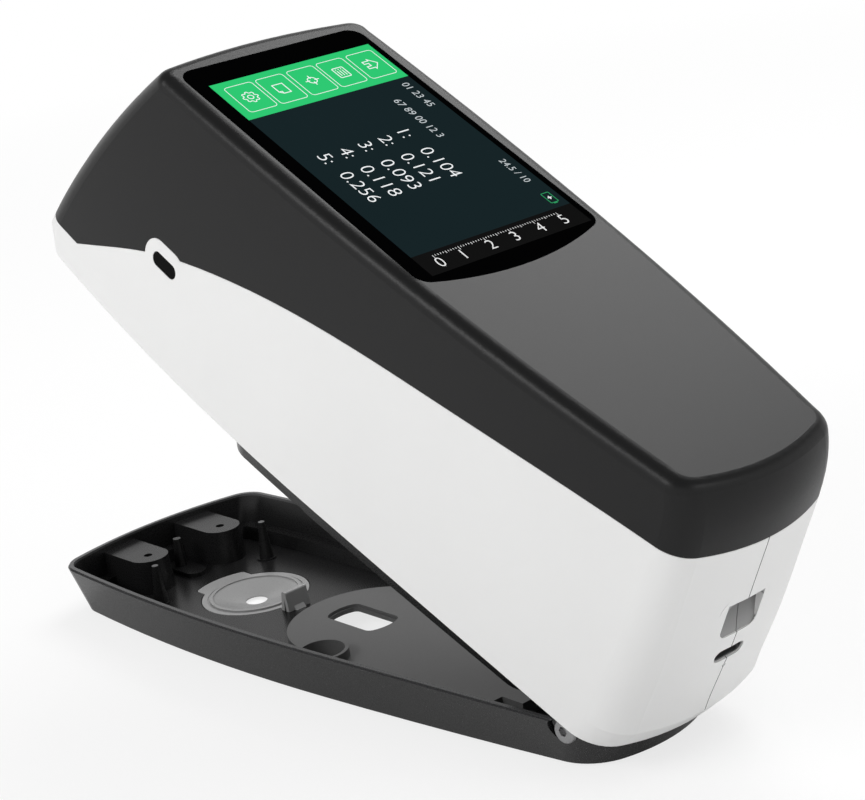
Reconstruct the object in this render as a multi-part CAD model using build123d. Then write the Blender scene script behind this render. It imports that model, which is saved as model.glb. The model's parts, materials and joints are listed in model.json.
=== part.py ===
from build123d import *
from math import cos, radians, sin
import os

# Hand-held densitometer on a hinged measuring shoe.  Millimetres.
# X = width, +Y = far end with the screen and the measuring head, +Z = up.
# The origin is the middle of the shoe's underside.  The instrument is drawn
# closed, flat on its shoe, and then swung open about the heel pivots.

os.makedirs("parts", exist_ok=True)

# ------------------------------------------------------------ driving sizes
OPEN_ANGLE = 29.6          # how far the springs hold the instrument open
HINGE_Y = -89.8            # heel pivot axis
HINGE_Z = 11.2
STOP_H = 3.3               # the shoe's heel is cut back to this plane over the axis

# plan outline, shared by the shoe's rim and the foot of the instrument
WIDEST = 35.5              # half width at its widest
WIDEST_Y = 42.0
SIDE_R = 760.0             # radius of the bowed far part of the side
SIDE_JOIN_Y = -22.0        # the side runs straight from here to the heel
FAR_Y = 104.2              # middle of the far end
NEAR_Y = -104.2            # middle of the heel
FAR_SAG = 4.9              # how far the corners fall back from the middle
NEAR_SAG = 6.9
FAR_CORNER_R = 8.0
NEAR_CORNER_R = 11.0

# shoe
FOOT_PAD_T = 0.4           # rubber feet stand this far below the shoe
FOOT_FAR = (20.0, 78.0)
FOOT_NEAR = (14.0, -72.0)
FOOT_LEN = 13.6
FOOT_W = 5.6
RIM_Z = 14.5
FLOOR_Z = 3.0
BED = 0.5                  # how deep bosses bed into the floor they stand on
SHOE_WALL = 1.6
SIDE_DRAFT = 4.7           # how far the wall leans in down to the underside
HEEL_DRAFT = 7.9
HEEL_LEAN = 0.045          # extra lean of the sides towards the heel
FAR_DRAFT = 0.8
RIM_STEP_W = 0.55          # shadow step round the rim
RIM_STEP_H = 0.6

# instrument
SEAT_GAP = 0.3             # between the closed shells and the shoe's rim
WALL = 2.0                 # shell thickness
TOP_WALL = 2.4
CHIN_Z = 20.8              # height of the crease above the foot
CHIN_OUT = 4.7             # how far the chin stands out past the foot
FOOT_OUT = 1.15            # the same at the shells' bottom edge
FOOT_CORNER_R = 7.1
CHIN_SIDE = 0.3            # the same on the flanks, fading to the heel
TOP_Z = 86.5               # top face over the middle of the shoe
TOP_SLOPE = 1.18           # degrees that the top face falls to the far end
TOP_FAR_Y = 73.8           # far end at the top
FAR_BULGE = 2.9
TOP_HALF = 31.5            # half width of the top before its rounding
TOP_TAPER_R = 735.0
TOP_TAPER_Y = 10.0
TOP_NEAR_Y = -103.0
HEEL_Y = -106.6            # middle of the heel, from the crease upwards
HEEL_CURVE = 2.5           # how late the heel's profile draws in towards the top
HEEL_SAG = 5.4
TOP_NEAR_SAG = 5.0
SHOULDER_Z = 78.0          # the heel's top rolls over from here
SHOULDER_IN = 2.6
TOP_FAR_SAG = 2.3
TOP_FAR_CORNER_R = 5.0
TOP_NEAR_CORNER_R = 8.0
TOP_ROUND = 3.7
SEAM = 0.12                # visible parting lines
SPLIT = 0.22               # between the two white shells
FIT_GAP = 0.15             # between pieces that fit inside one another

# parting line between the dark cover and the white shells
SEAM_FAR_Z = 23.2
SEAM_NEAR_Z = 72.0
SEAM_KINK_Y = 88.9         # where it turns from the flank onto the far end
SEAM_KINK_Z = 24.1

# lower housing: a deck that closes the shells, and a keel that nests in the shoe
DECK_LIFT = 0.2            # the deck's underside lies this far above the shells' edge
DECK_T = 2.4
KEEL_Z = 6.9
KEEL_FAR_Y = 26.0
KEEL_NEAR_Y = -76.0
KEEL_CORNER_R = 7.0
KEEL_GAP = 0.7             # to the shoe's inner wall
KEEL_WALL = 1.8

# platform on the shoe's floor
PLATFORM_Z = 6.5
PLATFORM_T = 2.0
PLATFORM_R = 21.9
PLATFORM_Y = 6.4
PLATFORM_NEAR_Y = -57.0
PLATFORM_GAP = 0.5         # to the shoe's inner wall
TONGUE_HALF = 13.3
TONGUE_NEAR_Y = -64.0
WINDOW_HALF = 5.3
WINDOW_R = 10.0
WINDOW_Y = 9.8
WINDOW_STEP = 0.45         # the window is this much smaller below its lip
WINDOW_LIP_T = 0.8
WINDOW_ROUND = 2.4
SIGHT_HALF = 14.0          # opening under the plate that leaves the view to the sample free
SIGHT_NEAR_Y = -0.5
SIGHT_FAR_Y = 30.5
SIGHT_RIM = 1.3            # what the plate laps over the opening
SIGHT_LEDGE_T = 1.3        # floor left over the part that reaches out past the plate
LEDGE_W = 3.4              # step along the foot of the inner wall, beyond the plate
LEDGE_Z = 6.5
LEDGE_NEAR_Y = 29.6
PLATE_SCREW_FAR = (17.5, 9.0)
PLATE_SCREW_NEAR = (14.0, -48.0)
CUP_X = 22.4
CUP_Y = -1.6
CUP_R = 6.7
CUP_BORE_R = 5.7
CUP_Z = 8.9

# measuring target, set in the shoe's floor
TARGET_Y = 56.4
TARGET_R = 14.8
TARGET_LIP_R = 12.3
TARGET_T = 0.6             # flange thickness
TARGET_TAB_R = 18.2
TARGET_TAB_HALF = 8.1
APERTURE_R = 3.0
DISH_Z = 1.0
TARGET_GAP = 0.3           # round the flange, which lies flush in the floor
CLIP_TONGUE = 2.6          # half width of the tongue that carries the clip
CLIP_HALF = 3.6
CLIP_NEAR_Y = 36.85
CLIP_Z = 8.5
CLIP_T = 1.1
CLIP_DEPTH = 3.2           # across its two legs at the floor
CLIP_RIDGE_Y = 1.45        # where the ridge lies behind the front leg's foot
CLIP_RIDGE_W = 1.5

# posts in the shoe
PIN_X = 18.5
PIN_Y = 75.1
PIN_TOP_Z = 14.0
PIN_BASE_R = 2.15
PIN_TOP_R = 0.9
PEG_Y = 91.0
PEG_TOP_Z = 12.3
PEG_BASE_R = 1.9
PEG_TOP_R = 1.1
PAD_Y = 87.2               # low pad between the rests
PAD_LEN = 12.0
PAD_W = 6.4
PAD_H = 1.2
REST_X = 12.6
REST_Y = 87.2
REST_R = 5.6
REST_BASE_R = 6.2
REST_Z = 12.5
REST_BORE_R = 1.2
STOP_PAD_R = 3.5           # stops under the deck that land on the rests
STOP_PAD_GAP = 0.15

# heel pivots
SCREW_HEAD_X = WIDEST - 10.4# outer face of the screw's head
SCREW_HEAD_R = 2.95
SCREW_HEAD_T = 1.5
SCREW_RECESS_R = 3.5
PIVOT_R = 1.5
PIVOT_CLEAR = 0.04
EAR_R = 3.2
EAR_IN_X = WIDEST - 15.7
PIVOT_TIP_X = 11.2
BARREL_R = 6.8             # rolled edge under the heel, between the knuckles
BARREL_HALF = 12.0
KNUCKLE_R = 4.2
BUSH_R = 2.4
BUSH_FLANGE_R = 3.4
BUSH_FLANGE_T = 0.7
BUSH_IN_X = 11.6
SIDE_PLAY = 0.1
SPRING_WIRE_R = 0.5
SPRING_R = 4.0
SPRING_TURNS = 3           # whole turns, besides the part turn between the legs
SPRING_PITCH = 1.15
SPRING_LIFT = 60.0         # direction of the leg that lifts the instrument, up from +Y
SPRING_OUT_X = 10.1
SPRING_BAY_IN_X = 4.0
SPRING_BAY_R = 5.2
SPRING_LEG = 10.0
SPRING_SLOT = 1.2          # half width of the gaps that the legs move in

# display, on the top face
GLASS_X = -0.35
GLASS_HALF = 27.35
GLASS_FAR_Y = 69.9
GLASS_NEAR_Y = -24.0
GLASS_NEAR_SAG = 5.0
GLASS_R = 4.0
GLASS_T = 1.1
GLASS_GAP = 0.12
GLASS_SINK = 0.05
SCREEN_X = 0.8
SCREEN_Y = 25.9
SCREEN_W = 48.96           # 3.5 inch, three by two
SCREEN_L = 73.44
SCREEN_BORDER = 0.8
PANEL_SIDE = 2.62          # panel past the screen
PANEL_FAR = 2.93
PANEL_NEAR = 6.53
PANEL_W = SCREEN_W + 2 * PANEL_SIDE
PANEL_L = SCREEN_L + PANEL_FAR + PANEL_NEAR
PANEL_T = 2.6
PANEL_SHIFT = (PANEL_FAR - PANEL_NEAR) / 2
GASKET_T = 0.5
BRACKET_T = 1.0
BRACKET_BOSS_X = 14.0
BRACKET_NEAR_Y = SCREEN_Y - SCREEN_L / 2 - PANEL_NEAR - 4.1
BRACKET_FAR_Y = SCREEN_Y + SCREEN_L / 2 + PANEL_FAR + 3.0

# power button on the left flank
BUTTON_Y = 55.0
BUTTON_Z = 41.2
BUTTON_LEN = 9.0
BUTTON_W = 3.6
BUTTON_GAP = 0.15
BUTTON_TRAVEL = 0.8
BUTTON_RIM = 3.4           # white surround
BUTTON_SINK = 0.8272       # inner flange to the inside of the flank
BUTTON_FLANGE_T = 0.8
BUTTON_FLANGE_W = 0.9
BUTTON_STEM_R = 1.2
SWITCH_SIZE = 6.0
SWITCH_T = 3.4
PLUNGER_R = 1.5
PLUNGER_OUT = 1.2
PLUNGER_DEPTH = 1.6
SWITCH_BOARD_T = 1.2
SWITCH_BOARD_HALF = 8.5
SWITCH_BOARD_Z = 30.0
SWITCH_POST_Z = 38.0

# heel face
POCKET_Z = 50.4
POCKET_W = 11.7
POCKET_H = 9.8
POCKET_R = 2.2
POCKET_DEPTH = 3.2
USB_Z = 39.3
USB_W = 8.94
USB_H = 3.26
USB_L = 7.35
USB_SINK = 0.4
LIGHT_Z = 35.3
LIGHT_R = 0.5
PORT_BOARD_T = 1.2
PORT_BOARD_HALF = 9.0
PORT_POST_X = 6.5
PORT_POST_Y = -88.5

# inner frame and boards
FRAME_Z = 46.0
FRAME_T = 2.0
FRAME_HALF = WIDEST - 12.5
FRAME_NEAR_Y = -72.0
FRAME_FAR_Y = 38.0
POST_X = FRAME_HALF - 3.5
POST_NEAR_Y = -60.0
POST_FAR_Y = 32.0
POST_R = 3.6
FRAME_WINDOW_STEP = 20.0   # middles of the frame's two openings from its own
FRAME_WINDOW_HALF = (11.0, 12.0)
FRAME_SCREW_L = 7.0
COVER_SCREW_L = 10.0
BOARD_T = 1.6
BOARD_HALF = 15.5
BOARD_NEAR_Y = -70.0
BOARD_FAR_Y = 26.0
STANDOFF_H = 2.5
RIBBON_HALF = 9.0
RIBBON_T = 0.3
RIBBON_BOARD_Y = BRACKET_NEAR_Y - 14.55
RIBBON_BEND_R = 3.0
BUZZER_X = -7.0
BUZZER_Y = -56.0
COVER_BOSS_X = POST_X
COVER_BOSS_Y = -28.0
COVER_BOSS_R = 3.0
CORNER_BOSS_X = WIDEST - 14.5
CORNER_BOSS_Y = 87.0
LUG_FAR_Y = 40.0
LUG_FAR_X = WIDEST - 7.5
LUG_NEAR_Y = -81.0
LUG_NEAR_X = WIDEST - 14.0
LUG_T = 3.0
M2_R = 1.0
M25_R = 1.25

# measuring head
NOSE_R = 11.0
NOSE_TIP_R = 6.0
NOSE_TIP_Z = 3.9
NOSE_FLANGE_R = 13.4
NOSE_FLANGE_T = 1.5
LENS_R = 8.0
LENS_T = 2.0
LENS_Z = 13.0
HEAD_R = 14.2
HEAD_FLANGE_R = 18.0
HEAD_FLANGE_T = 3.0
HEAD_TOP_Z = 41.0
HEAD_BORE_R = 7.0
LAMP_R = 13.2
LAMP_T = 1.6
HEAD_SCREWS_R = 16.2

LAMP_LIFT = 4.0            # lamp ring above the deck
SENSOR_HALF_X = 14.0
SENSOR_HALF_Y = 12.0
SENSOR_SCREW_X = 11.0

# battery
BATTERY_W = 30.0
BATTERY_L = 50.0
BATTERY_T = 14.0
BATTERY_Y = -39.0
STRAP_T = 1.2
STRAP_W = 10.0
STRAP_BOSS_X = 20.5

FOOT_Z = RIM_Z + SEAT_GAP
BUTTON_SHARE = (BUTTON_Z - FOOT_Z) / (TOP_Z - FOOT_Z)
BUTTON_FLANGE_X = WIDEST + (TOP_HALF - WIDEST) * BUTTON_SHARE - WALL - BUTTON_SINK
SWITCH_X = BUTTON_FLANGE_X - 4.2
DECK_Z = FOOT_Z + DECK_LIFT
DECK_TOP = DECK_Z + DECK_T
KEEL_FLOOR = KEEL_Z + KEEL_WALL
BARREL_END = EAR_IN_X - SIDE_PLAY - BUSH_FLANGE_T
BOARD_Z = FRAME_Z + FRAME_T + STANDOFF_H
PORT_BOARD_TOP = USB_Z - USB_H / 2
LAMP_Z = DECK_TOP + LAMP_LIFT
STRAP_Z = KEEL_FLOOR + BATTERY_T + 0.1
SWITCH_BOARD_X = SWITCH_X - SWITCH_T - SWITCH_BOARD_T / 2


# ------------------------------------------------------------ small helpers
def block(x0, x1, y0, y1, z0, z1):
    """A box between two opposite corners."""
    middle = Pos((x0 + x1) / 2, (y0 + y1) / 2, (z0 + z1) / 2)
    return middle * Box(abs(x1 - x0), abs(y1 - y0), abs(z1 - z0))


def rod(r, z0, z1, x=0.0, y=0.0):
    """An upright round bar."""
    return Pos(x, y, (z0 + z1) / 2) * Cylinder(r, z1 - z0)


def bar_x(r, x0, x1, y, z):
    """A round bar lying along X."""
    return Pos((x0 + x1) / 2, y, z) * Rot(0, 90, 0) * Cylinder(r, abs(x1 - x0))


def tube(r_out, r_in, z0, z1, x=0.0, y=0.0):
    return rod(r_out, z0, z1, x, y) - rod(r_in, z0, z1, x, y)


def cone(r0, r1, z0, z1, x=0.0, y=0.0):
    return Pos(x, y, (z0 + z1) / 2) * Cone(r0, r1, z1 - z0)


def both_sides(solid):
    return [solid, mirror(solid, Plane.YZ)]


def along_x(face, x0, x1):
    """Extrude a profile drawn in the YZ plane from x0 to x1."""
    return extrude(Pos(x0, 0, 0) * (Plane.YZ * face), x1 - x0, dir=(1, 0, 0))


def screw(r, length, head_r, head_h, x, y, z):
    """A cap screw pointing up, with its head's seat at z."""
    body = rod(r, z, z + length, x, y) + rod(head_r, z - head_h, z, x, y)
    return body - rod(head_r * 0.5, z - head_h, z - head_h * 0.45, x, y)


def screw_down(r, length, head_r, head_h, x, y, z):
    """The same screw pointing down, with its head's seat at z."""
    body = rod(r, z - length, z, x, y) + rod(head_r, z, z + head_h, x, y)
    return body - rod(head_r * 0.5, z + head_h * 0.45, z + head_h, x, y)


def blend(a, b, t):
    return a + (b - a) * t


def at_corners(x, ys):
    return [(sx * x, y) for y in ys for sx in (-1, 1)]


FOOT_PLACES = at_corners(FOOT_FAR[0], (FOOT_FAR[1],)) + at_corners(FOOT_NEAR[0], (FOOT_NEAR[1],))
PLATE_SCREWS = at_corners(PLATE_SCREW_FAR[0], (PLATE_SCREW_FAR[1],))
PLATE_SCREWS += at_corners(PLATE_SCREW_NEAR[0], (PLATE_SCREW_NEAR[1],))
SHELL_SCREWS = at_corners(LUG_FAR_X, (LUG_FAR_Y,)) + at_corners(LUG_NEAR_X, (LUG_NEAR_Y,))
CORNER_SCREWS = at_corners(CORNER_BOSS_X, (CORNER_BOSS_Y,))


# ------------------------------------------------------------ plan outlines
def foot_half(y):
    """Half width of the rim outline at a place along the body."""
    if y >= SIDE_JOIN_Y:
        return WIDEST - (y - WIDEST_Y) ** 2 / (2 * SIDE_R)
    run = WIDEST_Y - SIDE_JOIN_Y
    return WIDEST - run**2 / (2 * SIDE_R) - (SIDE_JOIN_Y - y) * run / SIDE_R


def top_half(y):
    """Half width of the instrument at its top face, before rounding."""
    return TOP_HALF - max(0.0, TOP_TAPER_Y - y) ** 2 / (2 * TOP_TAPER_R)


def outline(z, half, far_y, near_y, far_sag, near_sag, far_r, near_r):
    """Closed plan outline at height z: bowed ends, curved sides, round corners."""
    far_c = far_y - far_sag
    near_c = near_y + near_sag
    join = (far_c + near_c) / 2 - 12
    quarter = (join + near_c) / 2
    a = (half(near_c), near_c)
    b = (half(quarter), quarter)
    c = (half(join), join)
    d = (half(far_c), far_c)
    heel_side = ThreePointArc(a, b, c)
    far_side = TangentArc(c, d, tangent=heel_side % 1)
    far_end = ThreePointArc(d, (0, far_y), (-d[0], far_c))
    heel_end = ThreePointArc((-a[0], near_c), (0, near_y), a)
    right = Curve() + [heel_side, far_side]
    left = mirror(right, Plane.YZ)
    face = make_face(Curve() + [heel_side, far_side, far_end, *left.edges(), heel_end])
    corners = face.vertices().sort_by(Axis.Y)
    face = fillet(corners[-2:], far_r)
    corners = face.vertices().filter_by(lambda v: abs(v.Y - near_c) < 0.01)
    face = fillet(corners, near_r)
    return Pos(0, 0, z) * face


# ------------------------------------------------------------ shoe form
def shoe_section(z, inset=0.0):
    lean = (RIM_Z - z) / (RIM_Z - FOOT_PAD_T)

    def half(y):
        heel = max(0.0, -30.0 - y) * HEEL_LEAN
        return foot_half(y) - (SIDE_DRAFT + heel) * lean - inset

    return outline(
        z,
        half,
        FAR_Y - FAR_DRAFT * lean - inset,
        NEAR_Y + HEEL_DRAFT * lean + inset,
        FAR_SAG,
        NEAR_SAG - 1.5 * lean,
        FAR_CORNER_R - inset,
        NEAR_CORNER_R + 2 * lean - inset,
    )


def shoe_form(z_low, z_high, inset=0.0):
    return loft([shoe_section(z_low, inset), shoe_section(z_high, inset)], ruled=True)


def keel_section(z, inset):
    """The shoe's inside outline, cut square to the keel's length and rounded."""
    length = KEEL_FAR_Y - KEEL_NEAR_Y - 2 * (inset - SHOE_WALL - KEEL_GAP)
    middle = (KEEL_FAR_Y + KEEL_NEAR_Y) / 2
    face = shoe_section(z, inset) & Pos(0, middle, z) * Rectangle(3 * WIDEST, length)
    ends = face.vertices().filter_by(lambda v: abs(abs(v.Y - middle) - length / 2) < 0.01)
    return fillet(ends, KEEL_CORNER_R - (inset - SHOE_WALL - KEEL_GAP))


def keel_form(z_low, z_high, inset):
    return loft([keel_section(z_low, inset), keel_section(z_high, inset)], ruled=True)


# ------------------------------------------------------------ instrument form
def body_section(z, inset=0.0):
    up = (z - FOOT_Z) / (TOP_Z - FOOT_Z)
    rise = (z - CHIN_Z) / (TOP_Z - CHIN_Z)
    over = max(0.0, z - SHOULDER_Z) / (TOP_Z - SHOULDER_Z)
    if z <= CHIN_Z:
        step = (z - FOOT_Z) / (CHIN_Z - FOOT_Z)
        far_y = FAR_Y + blend(FOOT_OUT, CHIN_OUT, step)
        far_r = blend(FOOT_CORNER_R, FAR_CORNER_R, step)
        hump = step
    else:
        far_y = blend(FAR_Y + CHIN_OUT, TOP_FAR_Y, rise) + 4 * FAR_BULGE * rise * (1 - rise)
        far_r = blend(FAR_CORNER_R, TOP_FAR_CORNER_R, rise)
        hump = max(0.0, 1 - rise / 0.45)
    settle = max(0.0, rise)
    near_y = HEEL_Y + (TOP_NEAR_Y - HEEL_Y) * settle**HEEL_CURVE + SHOULDER_IN * over**2
    if z <= CHIN_Z:
        near_y = blend(NEAR_Y, HEEL_Y, step)

    def half(y):
        far = min(1.0, max(0.0, (y + 20) / 90))
        return blend(foot_half(y), top_half(y), up) + CHIN_SIDE * far * hump - inset

    return outline(
        z,
        half,
        far_y - inset,
        near_y + inset,
        blend(FAR_SAG, TOP_FAR_SAG, settle),
        blend(HEEL_SAG, TOP_NEAR_SAG, settle),
        max(1.0, far_r - inset),
        blend(NEAR_CORNER_R, TOP_NEAR_CORNER_R, max(0.0, up)) - inset,
    )


def top_plane(drop=0.0):
    tilt = radians(TOP_SLOPE)
    return Plane((0, 0, TOP_Z - drop), x_dir=(1, 0, 0), z_dir=(0, sin(tilt), cos(tilt)))


def on_top(solid, drop=0.0):
    """Set a piece that is drawn flat onto the sloping top face."""
    return top_plane(drop).location * solid


def body_form(inset=0.0, low=FOOT_Z, drop=0.0):
    """The instrument's outer form, or the same set in by a wall."""
    upper_z = [CHIN_Z, 34.0, 50.0, 66.0, SHOULDER_Z, TOP_Z + 5.0]
    skirt = loft([body_section(low, inset), body_section(CHIN_Z, inset)], ruled=True)
    upper = loft([body_section(z, inset) for z in upper_z])
    return split(skirt + upper, bisect_by=top_plane(drop), keep=Keep.BOTTOM)


def button_outline(grow=0.0):
    """The button's pill shape in the YZ plane, grown by a margin."""
    width = BUTTON_W + 2 * grow
    return Pos(BUTTON_Y, BUTTON_Z) * SlotOverall(BUTTON_LEN + 2 * grow, width)


def below_seam(lift, surround):
    """YZ profile of everything under the parting line, with the button's surround if asked."""
    kink = (SEAM_KINK_Y, SEAM_KINK_Z + lift)
    line = Spline(
        kink,
        (79.5, 30 + lift),
        (63, 39.8 + lift),
        (40.5, 49.6 + lift),
        (7.5, 59.2 + lift),
        (-39, 66.7 + lift),
        (-92, SEAM_NEAR_Z - 0.1 + lift),
        (-130, SEAM_NEAR_Z + lift),
    )
    rest = Polyline((-130, SEAM_NEAR_Z + lift), (-130, 0), (130, 0), (130, SEAM_FAR_Z + lift), kink)
    face = make_face(Curve() + [line, rest])
    if surround:
        face += button_outline(BUTTON_RIM + lift)
    return face


# ------------------------------------------------------------ shoe
def slanted_cutter():
    """Everything above the plane that the opened instrument comes down to."""
    box = Pos(0, 0, STOP_H + 20) * Box(120, 80, 40)
    return Pos(0, HINGE_Y, HINGE_Z) * Rot(OPEN_ANGLE, 0, 0) * box


def rest_outline(r, z):
    """D-shaped plan of a rest boss, from its round nose back to the far wall."""
    back = FAR_Y - REST_Y
    return Pos(REST_X, REST_Y, z) * (Circle(r) + Pos(0, back / 2) * Rectangle(2 * r, back))


def make_tray():
    body = shoe_form(FOOT_PAD_T, RIM_Z - RIM_STEP_H)
    body += shoe_form(RIM_Z - RIM_STEP_H, RIM_Z, RIM_STEP_W)
    tray = body - shoe_form(FLOOR_Z, RIM_Z + 1, SHOE_WALL)
    mid_wall = shoe_form(FOOT_PAD_T, RIM_Z, (RIM_STEP_W + SHOE_WALL) / 2)

    low = FLOOR_Z - BED
    rest = loft([rest_outline(REST_BASE_R, low), rest_outline(REST_R, REST_Z)], ruled=True)
    rest -= rod(REST_BORE_R, REST_Z - 8, REST_Z, REST_X, REST_Y)
    pin = cone(PIN_BASE_R, PIN_TOP_R, low, PIN_TOP_Z, PIN_X, PIN_Y)
    pin += rod(PIN_BASE_R + 0.6, low, FLOOR_Z + 0.4, PIN_X, PIN_Y)
    ear = bar_x(EAR_R, EAR_IN_X, WIDEST, HINGE_Y, HINGE_Z)
    ear += block(EAR_IN_X, WIDEST, HINGE_Y - EAR_R, HINGE_Y + EAR_R, low, HINGE_Z)
    rib = block(EAR_IN_X + 1, EAR_IN_X + 2.6, HINGE_Y, HINGE_Y + 9, low, HINGE_Z - 3)
    ledge = shoe_form(low, LEDGE_Z, (RIM_STEP_W + SHOE_WALL) / 2)
    ledge -= shoe_form(low - 1, LEDGE_Z + 1, SHOE_WALL + LEDGE_W)
    tray += ledge & block(-WIDEST, WIDEST, LEDGE_NEAR_Y, 2 * FAR_Y, 0, RIM_Z)
    for piece in both_sides(rest) + both_sides(ear) + both_sides(rib):
        tray += piece & mid_wall
    for piece in both_sides(pin):
        tray += piece
    tray += cone(PEG_BASE_R, PEG_TOP_R, low, PEG_TOP_Z, 0, PEG_Y)
    tray += Pos(0, PAD_Y, low) * extrude(SlotOverall(PAD_LEN, PAD_W, rotation=90), FLOOR_Z + PAD_H - low)

    tray -= slanted_cutter()
    for side in (-1, 1):
        head_in = SCREW_HEAD_X - SCREW_HEAD_T
        tray -= bar_x(SCREW_RECESS_R, side * head_in, side * WIDEST, HINGE_Y, HINGE_Z)
        tray -= bar_x(PIVOT_R + 0.02, side * (EAR_IN_X - 1), side * WIDEST, HINGE_Y, HINGE_Z)

    tray -= rod(TARGET_LIP_R - 0.4, 0, FLOOR_Z + 1, 0, TARGET_Y)
    tray -= extrude(Pos(0, 0, FLOOR_Z - TARGET_T - FIT_GAP) * target_outline(TARGET_GAP), 2)
    tray -= extrude(Pos(0, 0, FLOOR_Z - SIGHT_LEDGE_T) * (sight_outline() & under_plate()), 2)
    tray -= extrude(sight_outline(), FLOOR_Z - SIGHT_LEDGE_T)
    for x, y in FOOT_PLACES:
        tray -= Pos(x, y, FOOT_PAD_T) * extrude(SlotOverall(FOOT_LEN + 0.4, FOOT_W + 0.4, rotation=90), 0.8)
    for x, y in PLATE_SCREWS:
        tray -= rod(1.1, 0, FLOOR_Z + 1, x, y)
        tray -= rod(2.1, 0, FOOT_PAD_T + 1.4, x, y)
    return tray


def window_outline(grow=0.0):
    half = WINDOW_HALF + grow
    shape = Circle(WINDOW_R + grow) & Rectangle(2 * half, 4 * WINDOW_R)
    shape = fillet(shape.vertices(), WINDOW_ROUND + grow)
    return Pos(0, WINDOW_Y) * shape


def sight_outline():
    """Opening in the floor that the sample is seen through, past the window."""
    length = SIGHT_FAR_Y - SIGHT_NEAR_Y
    return Pos(0, SIGHT_NEAR_Y + length / 2) * RectangleRounded(2 * SIGHT_HALF, length, 3)


def under_plate():
    """The round end of the floor plate, less the rim that it rests on."""
    return Pos(0, PLATFORM_Y) * Circle(PLATFORM_R - SIGHT_RIM)


def make_platform():
    top = PLATFORM_Z
    low = FLOOR_Z + 0.05
    near_len = CUP_Y + 4 - PLATFORM_NEAR_Y
    strip = Pos(0, PLATFORM_NEAR_Y + near_len / 2) * Rectangle(3 * WIDEST, near_len)
    tongue_len = PLATFORM_NEAR_Y - TONGUE_NEAR_Y + 5
    tongue = Pos(0, TONGUE_NEAR_Y + tongue_len / 2) * Rectangle(2 * TONGUE_HALF, tongue_len)
    plan = strip + Pos(0, PLATFORM_Y) * Circle(PLATFORM_R) + tongue
    room = shoe_form(FLOOR_Z, RIM_Z, SHOE_WALL + PLATFORM_GAP)
    slab = extrude(Pos(0, 0, low) * plan, top - low) & room
    plate = slab
    for x, y in ((-CUP_X, CUP_Y), (CUP_X, CUP_Y)):
        plate += rod(CUP_R, low, CUP_Z, x, y) & room
        plate -= rod(CUP_BORE_R, low + 0.8, CUP_Z + 1, x, y)
    plate -= extrude(window_outline(-WINDOW_STEP), 20, both=True)
    plate -= extrude(Pos(0, 0, top - WINDOW_LIP_T) * window_outline(), 5)
    plate -= extrude(sight_outline() & under_plate(), top - PLATFORM_T)
    for x, y in PLATE_SCREWS:
        plate -= rod(M2_R - 0.1, 0, PLATFORM_Z - 0.8, x, y)
    return plate


def target_outline(grow=0.0):
    """Plan of the target's flange: a disc, its tab, and the tongue that carries the clip."""
    tab = Circle(TARGET_TAB_R) & Pos(0, TARGET_TAB_R) * Rectangle(2 * TARGET_TAB_HALF, 2 * TARGET_TAB_R)
    tab = fillet(tab.vertices().sort_by(Axis.Y)[-2:], 1.2)
    tongue_len = TARGET_Y - CLIP_NEAR_Y - 0.3
    tongue = Pos(0, -tongue_len / 2) * Rectangle(2 * CLIP_TONGUE, tongue_len)
    shape = Pos(0, TARGET_Y) * (Circle(TARGET_R) + tab + tongue)
    return offset(shape, grow) if grow else shape


def make_target():
    top = FLOOR_Z
    low = FOOT_PAD_T + 0.3
    bore_r = TARGET_LIP_R - 0.5
    plate = extrude(Pos(0, 0, top - TARGET_T) * target_outline(), TARGET_T)
    plate += rod(bore_r, low, top, 0, TARGET_Y)
    plate += tube(TARGET_LIP_R + 0.35, TARGET_LIP_R - 0.55, top, top + 0.35, 0, TARGET_Y)
    plate -= tube(TARGET_LIP_R + 1.0, TARGET_LIP_R + 0.35, top - 0.2, top, 0, TARGET_Y)
    plate -= cone(APERTURE_R, TARGET_LIP_R - 0.55, DISH_Z, top, 0, TARGET_Y)
    plate -= rod(APERTURE_R, 0, top, 0, TARGET_Y)
    return plate + make_clip()


def make_clip():
    """Folded grip on the near side of the target: two steep legs, a round ridge and a gusset."""
    base = FLOOR_Z + 0.05
    near = CLIP_NEAR_Y
    far = near + CLIP_DEPTH
    ridge = near + CLIP_RIDGE_Y
    half = CLIP_RIDGE_W / 2
    outside = make_face(Polyline(
        (near, base), (ridge - half, CLIP_Z), (ridge + half, CLIP_Z), (far, base), close=True))
    outside = fillet(outside.vertices().sort_by(Axis.Y)[-2:], 0.9 * half)
    inside = Polyline(
        (near + CLIP_T, base - 1), (ridge, CLIP_Z - 1.5 * CLIP_T), (far - CLIP_T, base - 1), close=True)
    fold = along_x(outside, -CLIP_HALF, CLIP_HALF)
    fold -= along_x(make_face(inside), -CLIP_HALF - 1, CLIP_HALF + 1)
    fold += block(-CLIP_TONGUE, CLIP_TONGUE, near + 0.4, far + 1, FLOOR_Z - 0.1, base + 0.4)
    gusset = Polyline((near + 1.2, base + 2.4), (near - 0.8, base), (near + 1.2, base), close=True)
    return fold + along_x(make_face(gusset), -0.45 * CLIP_HALF, 0.45 * CLIP_HALF)


def make_feet():
    pads = []
    for x, y in FOOT_PLACES:
        pads.append(Pos(x, y, 0) * extrude(SlotOverall(FOOT_LEN, FOOT_W, rotation=90), FOOT_PAD_T + 0.8))
    return pads


def make_plate_screws():
    length = PLATFORM_Z - 0.9 - (FOOT_PAD_T + 1.4)
    return [screw(M2_R - 0.1, length, 1.9, 1.2, x, y, FOOT_PAD_T + 1.4) for x, y in PLATE_SCREWS]


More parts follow.
